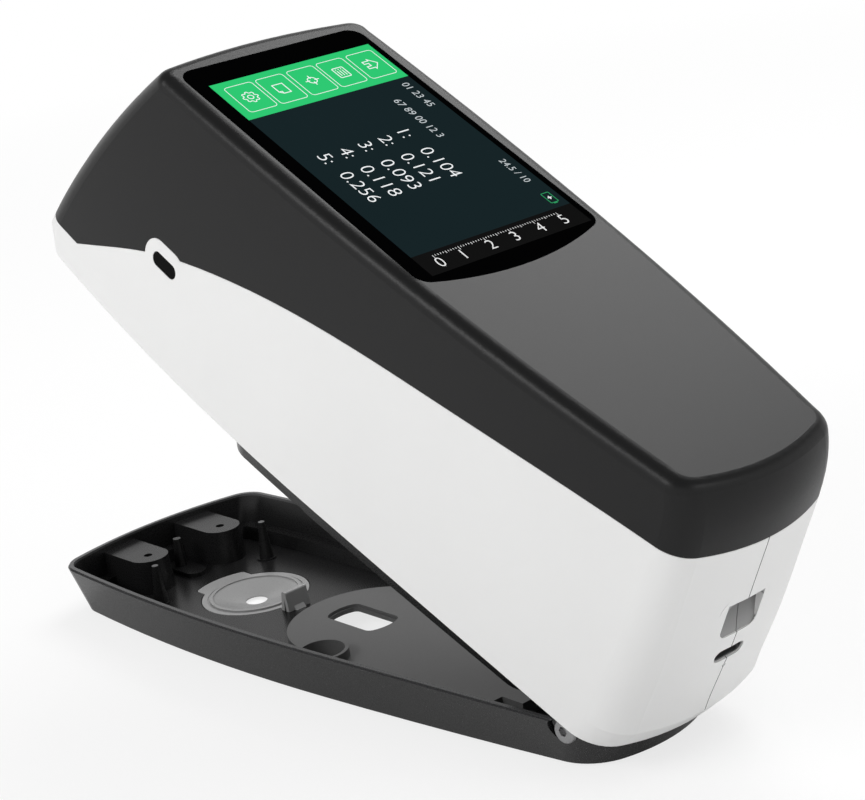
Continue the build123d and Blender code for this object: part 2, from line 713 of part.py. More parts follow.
def make_pivot_screws():
    seat = SCREW_HEAD_X - SCREW_HEAD_T
    screw_solid = bar_x(SCREW_HEAD_R, seat, SCREW_HEAD_X, HINGE_Y, HINGE_Z)
    rim = screw_solid.edges().filter_by(GeomType.CIRCLE).sort_by(Axis.X)[-1:]
    screw_solid = fillet(rim, 0.5)
    screw_solid += bar_x(PIVOT_R, PIVOT_TIP_X, seat, HINGE_Y, HINGE_Z)
    socket = Plane.YZ * RegularPolygon(1.25, 6)
    screw_solid -= extrude(Pos(SCREW_HEAD_X - 1.0, HINGE_Y, HINGE_Z) * socket, 2, dir=(1, 0, 0))
    return both_sides(screw_solid)


def spring_height():
    """Length of the coil between the middles of its end wires."""
    return (SPRING_TURNS + (270 + SPRING_LIFT) / 360) * SPRING_PITCH


def make_springs():
    """Torsion springs as they stand when the instrument is open: one leg down, one lifting."""
    height = spring_height()
    coil = Rot(0, 90, 0) * Rot(0, 0, 90) * Helix(SPRING_PITCH, height, SPRING_R)
    coil = Pos(SPRING_OUT_X - SPRING_WIRE_R - height, HINGE_Y, HINGE_Z) * coil
    down = Line(coil @ 0 - (coil % 0) * (HINGE_Z - FLOOR_Z - 0.05), coil @ 0)
    lift = Line(coil @ 1, coil @ 1 + (coil % 1) * SPRING_LEG)
    path = Wire([down, coil.edge(), lift])
    section = Plane(origin=path @ 0, z_dir=path % 0) * Circle(SPRING_WIRE_R)
    return both_sides(sweep(section, path=path))


# ------------------------------------------------------------ casing
def shell_form():
    """The whole casing as one wall, before it is parted into cover and shells."""
    outer = body_form()
    top = outer.faces().sort_by(Axis.Z)[-1]
    outer = fillet(top.edges(), TOP_ROUND)
    return outer, outer - body_form(WALL, FOOT_Z - 1, TOP_WALL)


def upper_and_lower(shell):
    """Part the casing along the seam; only the left flank has the button's surround."""
    half = 3 * WIDEST
    gap = SEAM / 2
    left_low = along_x(below_seam(-gap, True), -half, -SPLIT / 2)
    right_low = along_x(below_seam(-gap, False), SPLIT / 2, half)
    left_high = along_x(below_seam(gap, True), -half, 0)
    right_high = along_x(below_seam(gap, False), 0, half)
    return shell & left_low, shell & right_low, shell - left_high - right_high


def glass_outline(grow=0.0):
    """Rounded plan of the glass, with its bowed near edge, in top face coordinates."""
    left = GLASS_X - GLASS_HALF - grow
    right = GLASS_X + GLASS_HALF + grow
    far = GLASS_FAR_Y + grow
    near = GLASS_NEAR_Y - grow
    corner = near + GLASS_NEAR_SAG
    sides = Polyline((left, corner), (left, far), (right, far), (right, corner))
    bow = ThreePointArc((right, corner), (GLASS_X, near), (left, corner))
    face = make_face(Curve() + [sides, bow])
    return fillet(face.vertices(), GLASS_R + grow)


def screen_outline(border):
    return Pos(SCREEN_X, SCREEN_Y) * Rectangle(SCREEN_W + 2 * border, SCREEN_L + 2 * border)


def panel_outline(grow=0.0):
    middle = SCREEN_Y + PANEL_SHIFT
    return Pos(SCREEN_X, middle) * Rectangle(PANEL_W + 2 * grow, PANEL_L + 2 * grow)


def bracket_bosses():
    return at_corners(BRACKET_BOSS_X, (BRACKET_NEAR_Y, BRACKET_FAR_Y))


def make_cover(cover, outer):
    """Dark upper cover: window, glass recess and screw bosses."""
    recess = GLASS_SINK + GLASS_T
    cover -= on_top(Pos(0, 0, -recess) * extrude(glass_outline(GLASS_GAP), 5))
    cover -= on_top(extrude(screen_outline(SCREEN_BORDER), 10, both=True))
    depth = TOP_WALL + GASKET_T + PANEL_T
    for x, y in bracket_bosses():
        cover += on_top(rod(2.2, -depth, -TOP_WALL + 0.2, x, y))
        cover -= on_top(rod(M2_R - 0.15, -depth, -TOP_WALL, x, y))
    for x in (-COVER_BOSS_X, COVER_BOSS_X):
        cover += rod(COVER_BOSS_R, FRAME_Z + FRAME_T, TOP_Z - TOP_WALL / 2, x, COVER_BOSS_Y)
        cover -= rod(M25_R - 0.2, FRAME_Z, FRAME_Z + 14, x, COVER_BOSS_Y)
    for x in (-CORNER_BOSS_X, CORNER_BOSS_X):
        boss = rod(COVER_BOSS_R, DECK_TOP, TOP_Z, x, CORNER_BOSS_Y) & outer
        cover += boss + block(x - 0.8, x + 0.8, CORNER_BOSS_Y, FAR_Y, CHIN_Z + 4, CHIN_Z + 24) & outer
        cover -= rod(M25_R - 0.2, DECK_TOP - 1, DECK_TOP + 12, x, CORNER_BOSS_Y)
    return cover


def heel_block(width, height, radius, z, y0, y1):
    """Rounded block through the heel's wall, from y0 to y1."""
    face = Plane.XZ * RectangleRounded(width, height, radius)
    return extrude(Pos(0, y0, z) * face, y1 - y0, dir=(0, 1, 0))


def heel_y():
    """Where the middle of the heel's outer face lies, near the port."""
    return body_section(USB_Z).bounding_box().min.Y


def button_prism(grow, x0, x1):
    return along_x(button_outline(grow), -x0, -x1)


def scoop(heel):
    """Room over the pocket's curved floor: deep at the top, running out at the bottom."""
    high = POCKET_Z + POCKET_H / 2
    low = POCKET_Z - POCKET_H / 2
    middle = (heel + 0.62 * POCKET_DEPTH, POCKET_Z)
    floor = ThreePointArc((heel + 0.4, low), middle, (heel + POCKET_DEPTH, high))
    rest = Polyline((heel + POCKET_DEPTH, high), (heel - 6, high), (heel - 6, low), (heel + 0.4, low))
    return along_x(make_face(Curve() + [floor, rest]), -POCKET_W, POCKET_W)


def make_shell(shell, side, outer):
    """One white side shell: lugs, half of the heel's pocket and port, button hole."""
    heel = heel_y()
    apart = block(0, side * 2 * WIDEST, 2 * NEAR_Y, 2 * FAR_Y, 0, TOP_Z)
    apart -= block(-SPLIT / 2, SPLIT / 2, 2 * NEAR_Y, 2 * FAR_Y, 0, TOP_Z)
    floor_y = heel + POCKET_DEPTH
    width, height, corner = POCKET_W + 2 * WALL, POCKET_H + 2 * WALL, POCKET_R + WALL
    surround = heel_block(width, height, corner, POCKET_Z, heel + 1, floor_y + 1)
    shell += surround & apart
    shell -= heel_block(POCKET_W, POCKET_H, POCKET_R, POCKET_Z, heel - 5, floor_y) & scoop(heel)
    slot = USB_H / 2 + FIT_GAP
    shell -= heel_block(USB_W + 2 * FIT_GAP, 2 * slot, slot - 0.05, USB_Z, heel - 5, heel + 2 * WALL)
    shell -= Pos(0, heel, LIGHT_Z) * Rot(90, 0, 0) * Cylinder(LIGHT_R + SEAM / 2, 4 * WALL)
    for x, y in ((LUG_FAR_X, LUG_FAR_Y), (LUG_NEAR_X, LUG_NEAR_Y)):
        out = side * WIDEST
        inn = side * (x - 3.6)
        lug = block(min(out, inn), max(out, inn), y - 4, y + 4, DECK_TOP, DECK_TOP + LUG_T)
        lug += block(min(out, inn), max(out, inn), y + 3, y + 4.2, DECK_TOP, DECK_TOP + 2 * LUG_T)
        shell += lug & outer
        shell -= rod(M25_R - 0.2, DECK_TOP, DECK_TOP + LUG_T + 1, side * x, y)
    if side < 0:
        shell -= button_prism(BUTTON_GAP, BUTTON_FLANGE_X, 2 * WIDEST)
    return shell


# ------------------------------------------------------------ lower housing
def make_housing():
    inset = WALL + FIT_GAP
    deck = loft([body_section(DECK_Z, inset), body_section(DECK_TOP, inset)], ruled=True)
    keel_inset = SHOE_WALL + KEEL_GAP
    keel = keel_form(KEEL_Z, DECK_Z, keel_inset)
    hollow = keel_form(KEEL_FLOOR, DECK_TOP + 1, keel_inset + KEEL_WALL)
    pads = [rod(STOP_PAD_R, REST_Z + STOP_PAD_GAP, DECK_Z + 1, x, REST_Y) for x in (-REST_X, REST_X)]
    body = deck + keel + bar_x(BARREL_R, -BARREL_HALF, BARREL_HALF, HINGE_Y, HINGE_Z)
    body += bar_x(KNUCKLE_R, -BARREL_END, BARREL_END, HINGE_Y, HINGE_Z)
    for pad in pads:
        body += pad
    body -= hollow
    for x in (-CUP_X, CUP_X):
        roof = CUP_Z + 0.5
        body += rod(CUP_R + 2.4, KEEL_Z + 1, roof + KEEL_WALL, x, CUP_Y) & keel
        body -= rod(CUP_R + 0.6, 0, roof, x, CUP_Y)

    for x, y in at_corners(POST_X, (POST_NEAR_Y, POST_FAR_Y)):
        foot = KEEL_Z + 1 if y < KEEL_FAR_Y else DECK_Z + 1
        body += rod(POST_R, foot, FRAME_Z, x, y)
        body -= rod(POST_R - 1.1, 0, FRAME_Z - 2.5, x, y)
        body -= rod(M25_R + 0.1, 0, FRAME_Z + 1, x, y)
    for x in (-STRAP_BOSS_X, STRAP_BOSS_X):
        body += rod(2.6, KEEL_Z + 1, STRAP_Z, x, BATTERY_Y)
        body -= rod(M2_R - 0.15, KEEL_FLOOR, STRAP_Z, x, BATTERY_Y)
    for x in (-PORT_POST_X, PORT_POST_X):
        body += rod(2.4, DECK_TOP - 1, PORT_BOARD_TOP - PORT_BOARD_T, x, PORT_POST_Y)
        body -= rod(M2_R - 0.15, DECK_TOP + 4, PORT_BOARD_TOP, x, PORT_POST_Y)
    post_x = (-SWITCH_BOARD_X - 2.2, -SWITCH_BOARD_X + 2.2)
    for y in (BUTTON_Y - SWITCH_BOARD_HALF + 0.5, BUTTON_Y + SWITCH_BOARD_HALF - 0.5):
        body += block(*post_x, y - 1.6, y + 1.6, DECK_TOP - 1, SWITCH_POST_Z)
    slot_x = (-SWITCH_BOARD_X - SWITCH_BOARD_T / 2 - 0.05, -SWITCH_BOARD_X + SWITCH_BOARD_T / 2 + 0.05)
    slot_half = SWITCH_BOARD_HALF + 0.1
    body -= block(*slot_x, BUTTON_Y - slot_half, BUTTON_Y + slot_half, SWITCH_BOARD_Z, SWITCH_POST_Z + 2)

    body -= rod(NOSE_R + 0.3, 0, DECK_TOP + 1, 0, TARGET_Y)
    body -= rod(NOSE_FLANGE_R + 0.1, DECK_TOP - 0.4, DECK_TOP + 1, 0, TARGET_Y)
    for x, y in head_screw_places():
        body -= rod(M2_R - 0.1, 0, DECK_TOP + 1, x, y)
    for x, y in SHELL_SCREWS + CORNER_SCREWS:
        body -= rod(M25_R + 0.1, 0, DECK_TOP + 1, x, y)
        body -= rod(2.5, 0, DECK_Z + 1.2, x, y)

    for side in (-1, 1):
        body -= bar_x(BUSH_R, side * (BUSH_IN_X - 1.2), side * (BARREL_END + 1), HINGE_Y, HINGE_Z)
        ends = (side * SPRING_BAY_IN_X, side * (BUSH_IN_X - 1.1))
        body -= bar_x(SPRING_BAY_R, *ends, HINGE_Y, HINGE_Z)
        body -= block(*ends, HINGE_Y, HINGE_Y + 2 * BARREL_R, 0, DECK_Z)
        lift_x = side * (SPRING_OUT_X - SPRING_WIRE_R)
        reach = HINGE_Y + SPRING_R + SPRING_LEG
        body -= block(lift_x - SPRING_SLOT, lift_x + SPRING_SLOT, HINGE_Y, reach, HINGE_Z, DECK_TOP + 1)
        down_x = lift_x - side * spring_height()
        body -= block(down_x - SPRING_SLOT, down_x + SPRING_SLOT, HINGE_Y - 4, HINGE_Y, 0, HINGE_Z)
    return body


def head_screw_places():
    angles = (30, 150, 270)
    return [(HEAD_SCREWS_R * cos(radians(a)), TARGET_Y + HEAD_SCREWS_R * sin(radians(a))) for a in angles]


def make_bushes():
    bush = bar_x(BUSH_R, BUSH_IN_X, BARREL_END, HINGE_Y, HINGE_Z)
    bush += bar_x(BUSH_FLANGE_R, BARREL_END, BARREL_END + BUSH_FLANGE_T, HINGE_Y, HINGE_Z)
    bush -= bar_x(PIVOT_R + PIVOT_CLEAR, BUSH_IN_X - 1, EAR_IN_X, HINGE_Y, HINGE_Z)
    return both_sides(bush)


# ------------------------------------------------------------ display
def make_glass():
    plate = Pos(0, 0, -GLASS_SINK - GLASS_T) * extrude(glass_outline(), GLASS_T)
    rim = plate.faces().sort_by(Axis.Z)[-1].edges()
    return on_top(chamfer(rim, 0.15))


def make_gasket():
    frame = panel_outline(-0.5) - screen_outline(SCREEN_BORDER)
    return on_top(Pos(0, 0, -TOP_WALL - GASKET_T) * extrude(frame, GASKET_T))


def make_panel():
    top = -TOP_WALL - GASKET_T
    body = Pos(0, 0, top - PANEL_T) * extrude(panel_outline(), PANEL_T)
    step = GLASS_SINK + GLASS_T - TOP_WALL - GASKET_T
    active = Pos(0, 0, top) * extrude(screen_outline(0.2), -step - 0.02)
    return on_top(body + active)


def make_bracket():
    """Frame that holds the panel up against its gasket."""
    top = -TOP_WALL - GASKET_T - PANEL_T
    frame = panel_outline() - panel_outline(-7)
    frame += Pos(SCREEN_X, SCREEN_Y) * Rectangle(PANEL_W - 10, 8)
    for x, y in bracket_bosses():
        frame += Pos(x, y) * Circle(3.0)
        frame += Pos(x, blend(y, SCREEN_Y, 0.06)) * Rectangle(6, abs(y - SCREEN_Y) * 0.12)
    for x, y in bracket_bosses():
        frame -= Pos(x, y) * Circle(M2_R + 0.1)
    return on_top(Pos(0, 0, top - BRACKET_T) * extrude(frame, BRACKET_T))


def make_bracket_screws():
    seat = -TOP_WALL - GASKET_T - PANEL_T - BRACKET_T
    return [on_top(screw(M2_R - 0.15, 4.0, 1.9, 1.3, x, y, seat)) for x, y in bracket_bosses()]


# ------------------------------------------------------------ boards and frame
def standoffs():
    return at_corners(BOARD_HALF - 3, (BOARD_NEAR_Y + 4, BOARD_FAR_Y - 4))


def make_frame():
    plate = block(-FRAME_HALF, FRAME_HALF, FRAME_NEAR_Y, FRAME_FAR_Y, FRAME_Z, FRAME_Z + FRAME_T)
    plate = fillet(plate.edges().filter_by(Axis.Z), 5)
    half_x, half_y = FRAME_WINDOW_HALF
    middle = (FRAME_NEAR_Y + FRAME_FAR_Y) / 2 - 5
    for y in (middle - FRAME_WINDOW_STEP, middle + FRAME_WINDOW_STEP):
        opening = block(-half_x, half_x, y - half_y, y + half_y, FRAME_Z - 1, FRAME_Z + FRAME_T + 1)
        plate -= fillet(opening.edges().filter_by(Axis.Z), 3)
    for x in (-FRAME_HALF + 0.8, FRAME_HALF - 0.8):
        rib = block(x - 0.8, x + 0.8, FRAME_NEAR_Y + 8, FRAME_FAR_Y - 8, FRAME_Z - 4, FRAME_Z + 0.5)
        for y in (POST_NEAR_Y, POST_FAR_Y, COVER_BOSS_Y):
            rib -= rod(POST_R + 0.5, FRAME_Z - 5, FRAME_Z, (1 if x > 0 else -1) * POST_X, y)
        plate += rib
    for x, y in standoffs():
        plate += rod(2.4, FRAME_Z + 1, BOARD_Z, x, y)
        plate -= rod(M2_R - 0.15, FRAME_Z - 1, BOARD_Z, x, y)
    for x, y in at_corners(POST_X, (POST_NEAR_Y, POST_FAR_Y)):
        plate += rod(POST_R - 0.6, FRAME_Z + 1, FRAME_Z + 6, x, y)
        plate -= rod(M25_R - 0.2, FRAME_Z - 1, FRAME_Z + 6, x, y)
    for x in (-COVER_BOSS_X, COVER_BOSS_X):
        plate -= rod(M25_R + 0.1, FRAME_Z - 1, FRAME_Z + 3, x, COVER_BOSS_Y)
    return plate


def make_main_board():
    top = BOARD_Z + BOARD_T
    board = block(-BOARD_HALF, BOARD_HALF, BOARD_NEAR_Y, BOARD_FAR_Y, BOARD_Z, top)
    for x, y in standoffs():
        board -= rod(M2_R + 0.1, BOARD_Z - 1, top + 1, x, y)
    board += block(-7, 7, -12, 2, top, top + 1.2)
    board += block(-12, -3, 8, 16, top, top + 1.0)
    board += block(3, 12, 7, 18, top, top + 2.6)
    half = RIBBON_HALF + 1
    board += block(-half, half, RIBBON_BOARD_Y - 2.5, RIBBON_BOARD_Y + 2.5, top, top + 1.6)
    board += block(2, 11, -62, -50, top, top + 1.8)
    return board


def make_board_screws():
    top = BOARD_Z + BOARD_T
    return [screw_down(M2_R - 0.15, 3.6, 1.9, 1.3, x, y, top) for x, y in standoffs()]


def make_frame_screws():
    seat = FRAME_Z - 2.5
    places = at_corners(POST_X, (POST_NEAR_Y, POST_FAR_Y))
    return [screw(M25_R - 0.2, FRAME_SCREW_L, 2.2, 1.6, x, y, seat) for x, y in places]


def make_cover_screws():
    thread, length = M25_R - 0.2, COVER_SCREW_L
    near = [screw(thread, length, 2.2, 1.6, x, COVER_BOSS_Y, FRAME_Z) for x in (-COVER_BOSS_X, COVER_BOSS_X)]
    return near + [screw(thread, length, 2.2, 1.1, x, y, DECK_Z + 1.2) for x, y in CORNER_SCREWS]


def make_shell_screws():
    return [screw(M25_R - 0.2, 4.0, 2.2, 1.1, x, y, DECK_Z + 1.2) for x, y in SHELL_SCREWS]


def make_ribbon():
    """Flat cable from the panel's near edge down to its socket on the board."""
    start_y = SCREEN_Y + PANEL_SHIFT - PANEL_L / 2
    start_z = TOP_Z - TOP_WALL - GASKET_T - PANEL_T / 2 - start_y * sin(radians(TOP_SLOPE))
    end_z = BOARD_Z + BOARD_T + 1.6
    line = FilletPolyline(
        (start_y - 0.1, start_z),
        (RIBBON_BOARD_Y, start_z),
        (RIBBON_BOARD_Y, end_z),
        radius=RIBBON_BEND_R,
    )
    return along_x(trace(line, RIBBON_T), -RIBBON_HALF, RIBBON_HALF)


def make_buzzer():
    low = BOARD_Z + BOARD_T
    return tube(5.0, 1.0, low, low + 4.5, BUZZER_X, BUZZER_Y) + rod(4.0, low, low + 4.0, BUZZER_X, BUZZER_Y)


# ------------------------------------------------------------ battery and port
def make_battery():
    half_l = BATTERY_L / 2
    low = KEEL_FLOOR + 0.05
    pack = block(-BATTERY_W / 2, BATTERY_W / 2, BATTERY_Y - half_l, BATTERY_Y + half_l, low, low + BATTERY_T)
    return fillet(pack.edges().filter_by(Axis.Y), 1.6)


def make_strap():
    half = STRAP_BOSS_X + 3.2
    strap = block(-half, half, BATTERY_Y - STRAP_W / 2, BATTERY_Y + STRAP_W / 2, STRAP_Z, STRAP_Z + STRAP_T)
    strap = fillet(strap.edges().filter_by(Axis.Z), 2)
    for x in (-STRAP_BOSS_X, STRAP_BOSS_X):
        strap -= rod(M2_R + 0.1, STRAP_Z - 1, STRAP_Z + 3, x, BATTERY_Y)
    return strap


def make_strap_screws():
    return [screw_down(M2_R - 0.15, 5, 1.9, 1.3, x, BATTERY_Y, STRAP_Z + STRAP_T)
            for x in (-STRAP_BOSS_X, STRAP_BOSS_X)]


def make_port():
    face = heel_y() + USB_SINK
    shape = heel_block(USB_W, USB_H, USB_H / 2 - 0.05, USB_Z, face, face + USB_L)
    mouth = heel_block(USB_W - 0.6, USB_H - 0.6, USB_H / 2 - 0.35, USB_Z, face - 1, face + 5.4)
    tongue = block(-3.3, 3.3, face + 0.7, face + 6, USB_Z - 0.35, USB_Z + 0.35)
    return shape - mouth + tongue


def make_port_board():
    low = PORT_BOARD_TOP - PORT_BOARD_T
    near = heel_y() + WALL + 1.3
    board = block(-PORT_BOARD_HALF, PORT_BOARD_HALF, near, PORT_POST_Y + 4, low, PORT_BOARD_TOP)
    for x in (-PORT_POST_X, PORT_POST_X):
        board -= rod(M2_R + 0.1, low - 1, PORT_BOARD_TOP + 1, x, PORT_POST_Y)
    lamp_y = heel_y() + 6.5
    board += block(-1, 1, lamp_y, lamp_y + 1.6, LIGHT_Z - 0.8, low)
    return board


def make_port_screws():
    places = (-PORT_POST_X, PORT_POST_X)
    return [screw_down(M2_R - 0.15, 5, 1.9, 1.3, x, PORT_POST_Y, PORT_BOARD_TOP) for x in places]


def make_light():
    face = heel_y() + 0.15
    pipe = Pos(0, face + 3.1, LIGHT_Z) * Rot(90, 0, 0) * Cylinder(LIGHT_R, 6.2)
    return pipe + Pos(0, face + WALL + 0.9, LIGHT_Z) * Rot(90, 0, 0) * Cylinder(1.0, 0.8)


# ------------------------------------------------------------ measuring head
def make_nose():
    bore_low = 2.8
    solid = cone(NOSE_TIP_R, NOSE_R, NOSE_TIP_Z, DECK_Z, 0, TARGET_Y)
    solid += rod(NOSE_R, DECK_Z, DECK_TOP, 0, TARGET_Y)
    solid += rod(NOSE_FLANGE_R, DECK_TOP - 0.4, DECK_TOP - 0.4 + NOSE_FLANGE_T, 0, TARGET_Y)
    solid -= cone(bore_low, LENS_R - 1.2, NOSE_TIP_Z, LENS_Z, 0, TARGET_Y)
    solid -= rod(LENS_R + 0.05, LENS_Z, DECK_TOP + 3, 0, TARGET_Y)
    return solid


def make_lens():
    flat = rod(LENS_R, LENS_Z, LENS_Z + LENS_T, 0, TARGET_Y)
    return chamfer(flat.edges().filter_by(GeomType.CIRCLE), 0.3)


def make_head():
    """Barrel over the nose: lamp ring below, sensor board on top."""
    low = DECK_TOP
    solid = rod(HEAD_FLANGE_R, low, low + HEAD_FLANGE_T, 0, TARGET_Y)
    solid += rod(HEAD_R, low, HEAD_TOP_Z, 0, TARGET_Y)
    solid += tube(HEAD_R + 1.0, HEAD_R - 1, HEAD_TOP_Z - 3, HEAD_TOP_Z, 0, TARGET_Y)
    solid -= rod(NOSE_FLANGE_R + 0.1, low, low + NOSE_FLANGE_T - 0.4, 0, TARGET_Y)
    solid -= rod(LAMP_R + 0.05, low, LAMP_Z + LAMP_T, 0, TARGET_Y)
    solid -= rod(HEAD_BORE_R, low, HEAD_TOP_Z + 1, 0, TARGET_Y)
    for x, y in head_screw_places():
        solid -= rod(M2_R + 0.1, low - 1, low + HEAD_FLANGE_T + 1, x, y)
    for x in (-SENSOR_SCREW_X, SENSOR_SCREW_X):
        solid -= rod(M2_R - 0.15, HEAD_TOP_Z - 5, HEAD_TOP_Z, x, TARGET_Y)
    return solid


def make_lamp_ring():
    ring = tube(LAMP_R, LENS_R - 0.5, LAMP_Z, LAMP_Z + LAMP_T, 0, TARGET_Y)
    for lamp in PolarLocations((LAMP_R + LENS_R) / 2, 8):
        ring += Pos(0, TARGET_Y, LAMP_Z - 0.4) * lamp * Box(2.0, 2.0, 0.9)
    return ring


def make_sensor_board():
    low = HEAD_TOP_Z
    ends = (TARGET_Y - SENSOR_HALF_Y, TARGET_Y + SENSOR_HALF_Y)
    board = block(-SENSOR_HALF_X, SENSOR_HALF_X, *ends, low, low + BOARD_T)
    board = fillet(board.edges().filter_by(Axis.Z), 2)
    board += block(-4, 4, TARGET_Y - 4, TARGET_Y + 4, low - 1.5, low + 0.2)
    board += block(-5, 5, TARGET_Y + 4, TARGET_Y + 9, low + BOARD_T, low + BOARD_T + 2)
    for x in (-SENSOR_SCREW_X, SENSOR_SCREW_X):
        board -= rod(M2_R + 0.1, low - 1, low + 3, x, TARGET_Y)
    return board


def make_head_screws():
    seats = [(x, y, DECK_TOP + HEAD_FLANGE_T) for x, y in head_screw_places()]
    seats += [(x, TARGET_Y, HEAD_TOP_Z + BOARD_T) for x in (-SENSOR_SCREW_X, SENSOR_SCREW_X)]
    return [screw_down(M2_R - 0.15, 5, 1.9, 1.3, *seat) for seat in seats]


# ------------------------------------------------------------ power button
def make_button(outer):
    cap = button_prism(0, BUTTON_FLANGE_X, 2 * WIDEST) & outer
    flange_in = BUTTON_FLANGE_X - BUTTON_FLANGE_T
    cap += button_prism(BUTTON_FLANGE_W, flange_in, BUTTON_FLANGE_X)
    return cap + bar_x(BUTTON_STEM_R, -flange_in, -SWITCH_X - PLUNGER_OUT, BUTTON_Y, BUTTON_Z)


def make_plunger():
    inner = -SWITCH_X + PLUNGER_DEPTH - BUTTON_TRAVEL
    return bar_x(PLUNGER_R, -SWITCH_X - PLUNGER_OUT, inner, BUTTON_Y, BUTTON_Z)


def make_switch():
    half = SWITCH_SIZE / 2
    inner = -SWITCH_X + SWITCH_T
    case = block(-SWITCH_X, inner, BUTTON_Y - half, BUTTON_Y + half, BUTTON_Z - half, BUTTON_Z + half)
    depth = PLUNGER_DEPTH + 0.1
    return case - bar_x(PLUNGER_R + 0.06, -SWITCH_X - 1, -SWITCH_X + depth, BUTTON_Y, BUTTON_Z)


def make_switch_board():
    half = SWITCH_BOARD_T / 2
    x = -SWITCH_BOARD_X
    ends = (BUTTON_Y - SWITCH_BOARD_HALF, BUTTON_Y + SWITCH_BOARD_HALF)
    return block(x - half, x + half, *ends, SWITCH_BOARD_Z, BUTTON_Z + 5)


# ------------------------------------------------------------ the whole object
def swing_open(shape):
    axis = Axis((0, HINGE_Y, HINGE_Z), (1, 0, 0))
    pieces = shape if isinstance(shape, list) else [shape]
    return [piece.rotate(axis, OPEN_ANGLE) for piece in pieces]


def save(name, pieces):
    solids = [solid for piece in pieces for solid in piece.solids()]
    export_step(solids[0] if len(solids) == 1 else Compound(children=solids), f"parts/{name}.step")
    print(f"{name}: {len(solids)} solid(s)")


def main():
    outer, casing = shell_form()
    left, right, cover = upper_and_lower(casing)
    shoe = {
        "shoe_tray": make_tray(),
        "floor_plate": make_platform(),
        "target_ring": make_target(),
        "rubber_feet": make_feet(),
        "floor_plate_screws": make_plate_screws(),
        "pivot_screws": make_pivot_screws(),
        "torsion_springs": make_springs(),
    }
    instrument = {
        "lower_housing": make_housing(),
        "pivot_bushes": make_bushes(),
        "left_shell": make_shell(left, -1, outer),
        "right_shell": make_shell(right, 1, outer),
        "top_cover": make_cover(cover, outer),
        "display_glass": make_glass(),
        "display_gasket": make_gasket(),
        "display_panel": make_panel(),
        "panel_bracket": make_bracket(),
        "bracket_screws": make_bracket_screws(),
        "inner_frame": make_frame(),
        "frame_screws": make_frame_screws(),
        "cover_screws": make_cover_screws(),
        "shell_screws": make_shell_screws(),
        "main_board": make_main_board(),
        "board_screws": make_board_screws(),
        "ribbon_cable": make_ribbon(),
        "buzzer": make_buzzer(),
        "battery": make_battery(),
        "battery_strap": make_strap(),
        "strap_screws": make_strap_screws(),
        "usb_port": make_port(),
        "port_board": make_port_board(),
        "port_screws": make_port_screws(),
        "charge_light": make_light(),
        "nose_cone": make_nose(),
        "objective_lens": make_lens(),
        "optics_head": make_head(),
        "lamp_ring": make_lamp_ring(),
        "sensor_board": make_sensor_board(),
        "head_screws": make_head_screws(),
        "power_button": make_button(outer),
        "switch_plunger": make_plunger(),
        "button_switch": make_switch(),
        "switch_board": make_switch_board(),
    }
    for name, shape in shoe.items():
        save(name, shape if isinstance(shape, list) else [shape])
    for name, shape in instrument.items():
        save(name, swing_open(shape))


main()
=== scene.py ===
import json
import math

import bmesh
import bpy
from mathutils import Matrix, Vector


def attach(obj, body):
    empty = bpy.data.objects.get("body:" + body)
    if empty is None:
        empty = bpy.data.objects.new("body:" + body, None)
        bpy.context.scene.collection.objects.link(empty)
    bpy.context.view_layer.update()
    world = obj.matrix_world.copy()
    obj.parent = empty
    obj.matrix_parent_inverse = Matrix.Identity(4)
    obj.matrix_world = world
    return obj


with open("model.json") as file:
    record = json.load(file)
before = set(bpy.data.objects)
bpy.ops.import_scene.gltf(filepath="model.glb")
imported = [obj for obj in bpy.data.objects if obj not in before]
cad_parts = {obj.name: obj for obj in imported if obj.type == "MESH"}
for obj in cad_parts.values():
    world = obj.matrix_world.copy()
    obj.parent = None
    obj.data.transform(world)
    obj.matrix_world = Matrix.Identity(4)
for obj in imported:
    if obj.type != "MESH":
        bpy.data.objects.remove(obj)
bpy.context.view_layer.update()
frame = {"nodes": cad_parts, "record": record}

MM = 0.001
NODES = frame["nodes"]
JOINTS = {joint["name"]: joint for joint in frame["record"]["behaviour"]["joints"]}
HINGE = Vector(JOINTS["heel_hinge"]["pos_m"])
OPEN = math.radians(-JOINTS["heel_hinge"]["range_deg"][0])

# Places on the top face, in millimetres from the middle of the glass's far edge:
# "across" runs to +X and "up" towards the far end.
SCREEN_ACROSS = 1.15
SCREEN_UP = -44.0
SCREEN_HALF = 24.48        # half width of the lit area
SCREEN_FAR = 36.72
SCREEN_NEAR = -36.9
STRIP_NEAR = -44.2
BAR_NEAR = 21.2            # the menu bar fills the screen from here to its far end
LAYER = 0.02               # thickness of the lit ground, the menu bar and the printed strip
LINES_TOP = 3 * LAYER      # how high the lines and numerals stand
MITRE_LEAST = 0.4          # cosine past which a line's mitre grows no longer
WELD = 1e-6                # metres


# ------------------------------------------------------------ node materials
NOISE_MIDDLE = (0.3, 0.7)
DRIFT_SIZE = 60.0          # mm, of the slow drift in a moulded piece's tone
TONE_DRIFT = 0.04          # share by which it drifts either way
SHEEN_DRIFT = 0.04         # what its roughness gains or loses
GRAIN_DETAIL = 4.0


def mapped(tree, source, from_low, from_high, to_low=0.0, to_high=1.0):
    """A value brought from one range to another, and held at its ends; an end may be a socket."""
    node = tree.nodes.new("ShaderNodeMapRange")
    ends = {"From Min": from_low, "From Max": from_high, "To Min": to_low, "To Max": to_high}
    for name, value in ends.items():
        if isinstance(value, (int, float)):
            node.inputs[name].default_value = value
        else:
            tree.links.new(value, node.inputs[name])
    tree.links.new(source, node.inputs["Value"])
    return node.outputs["Result"]


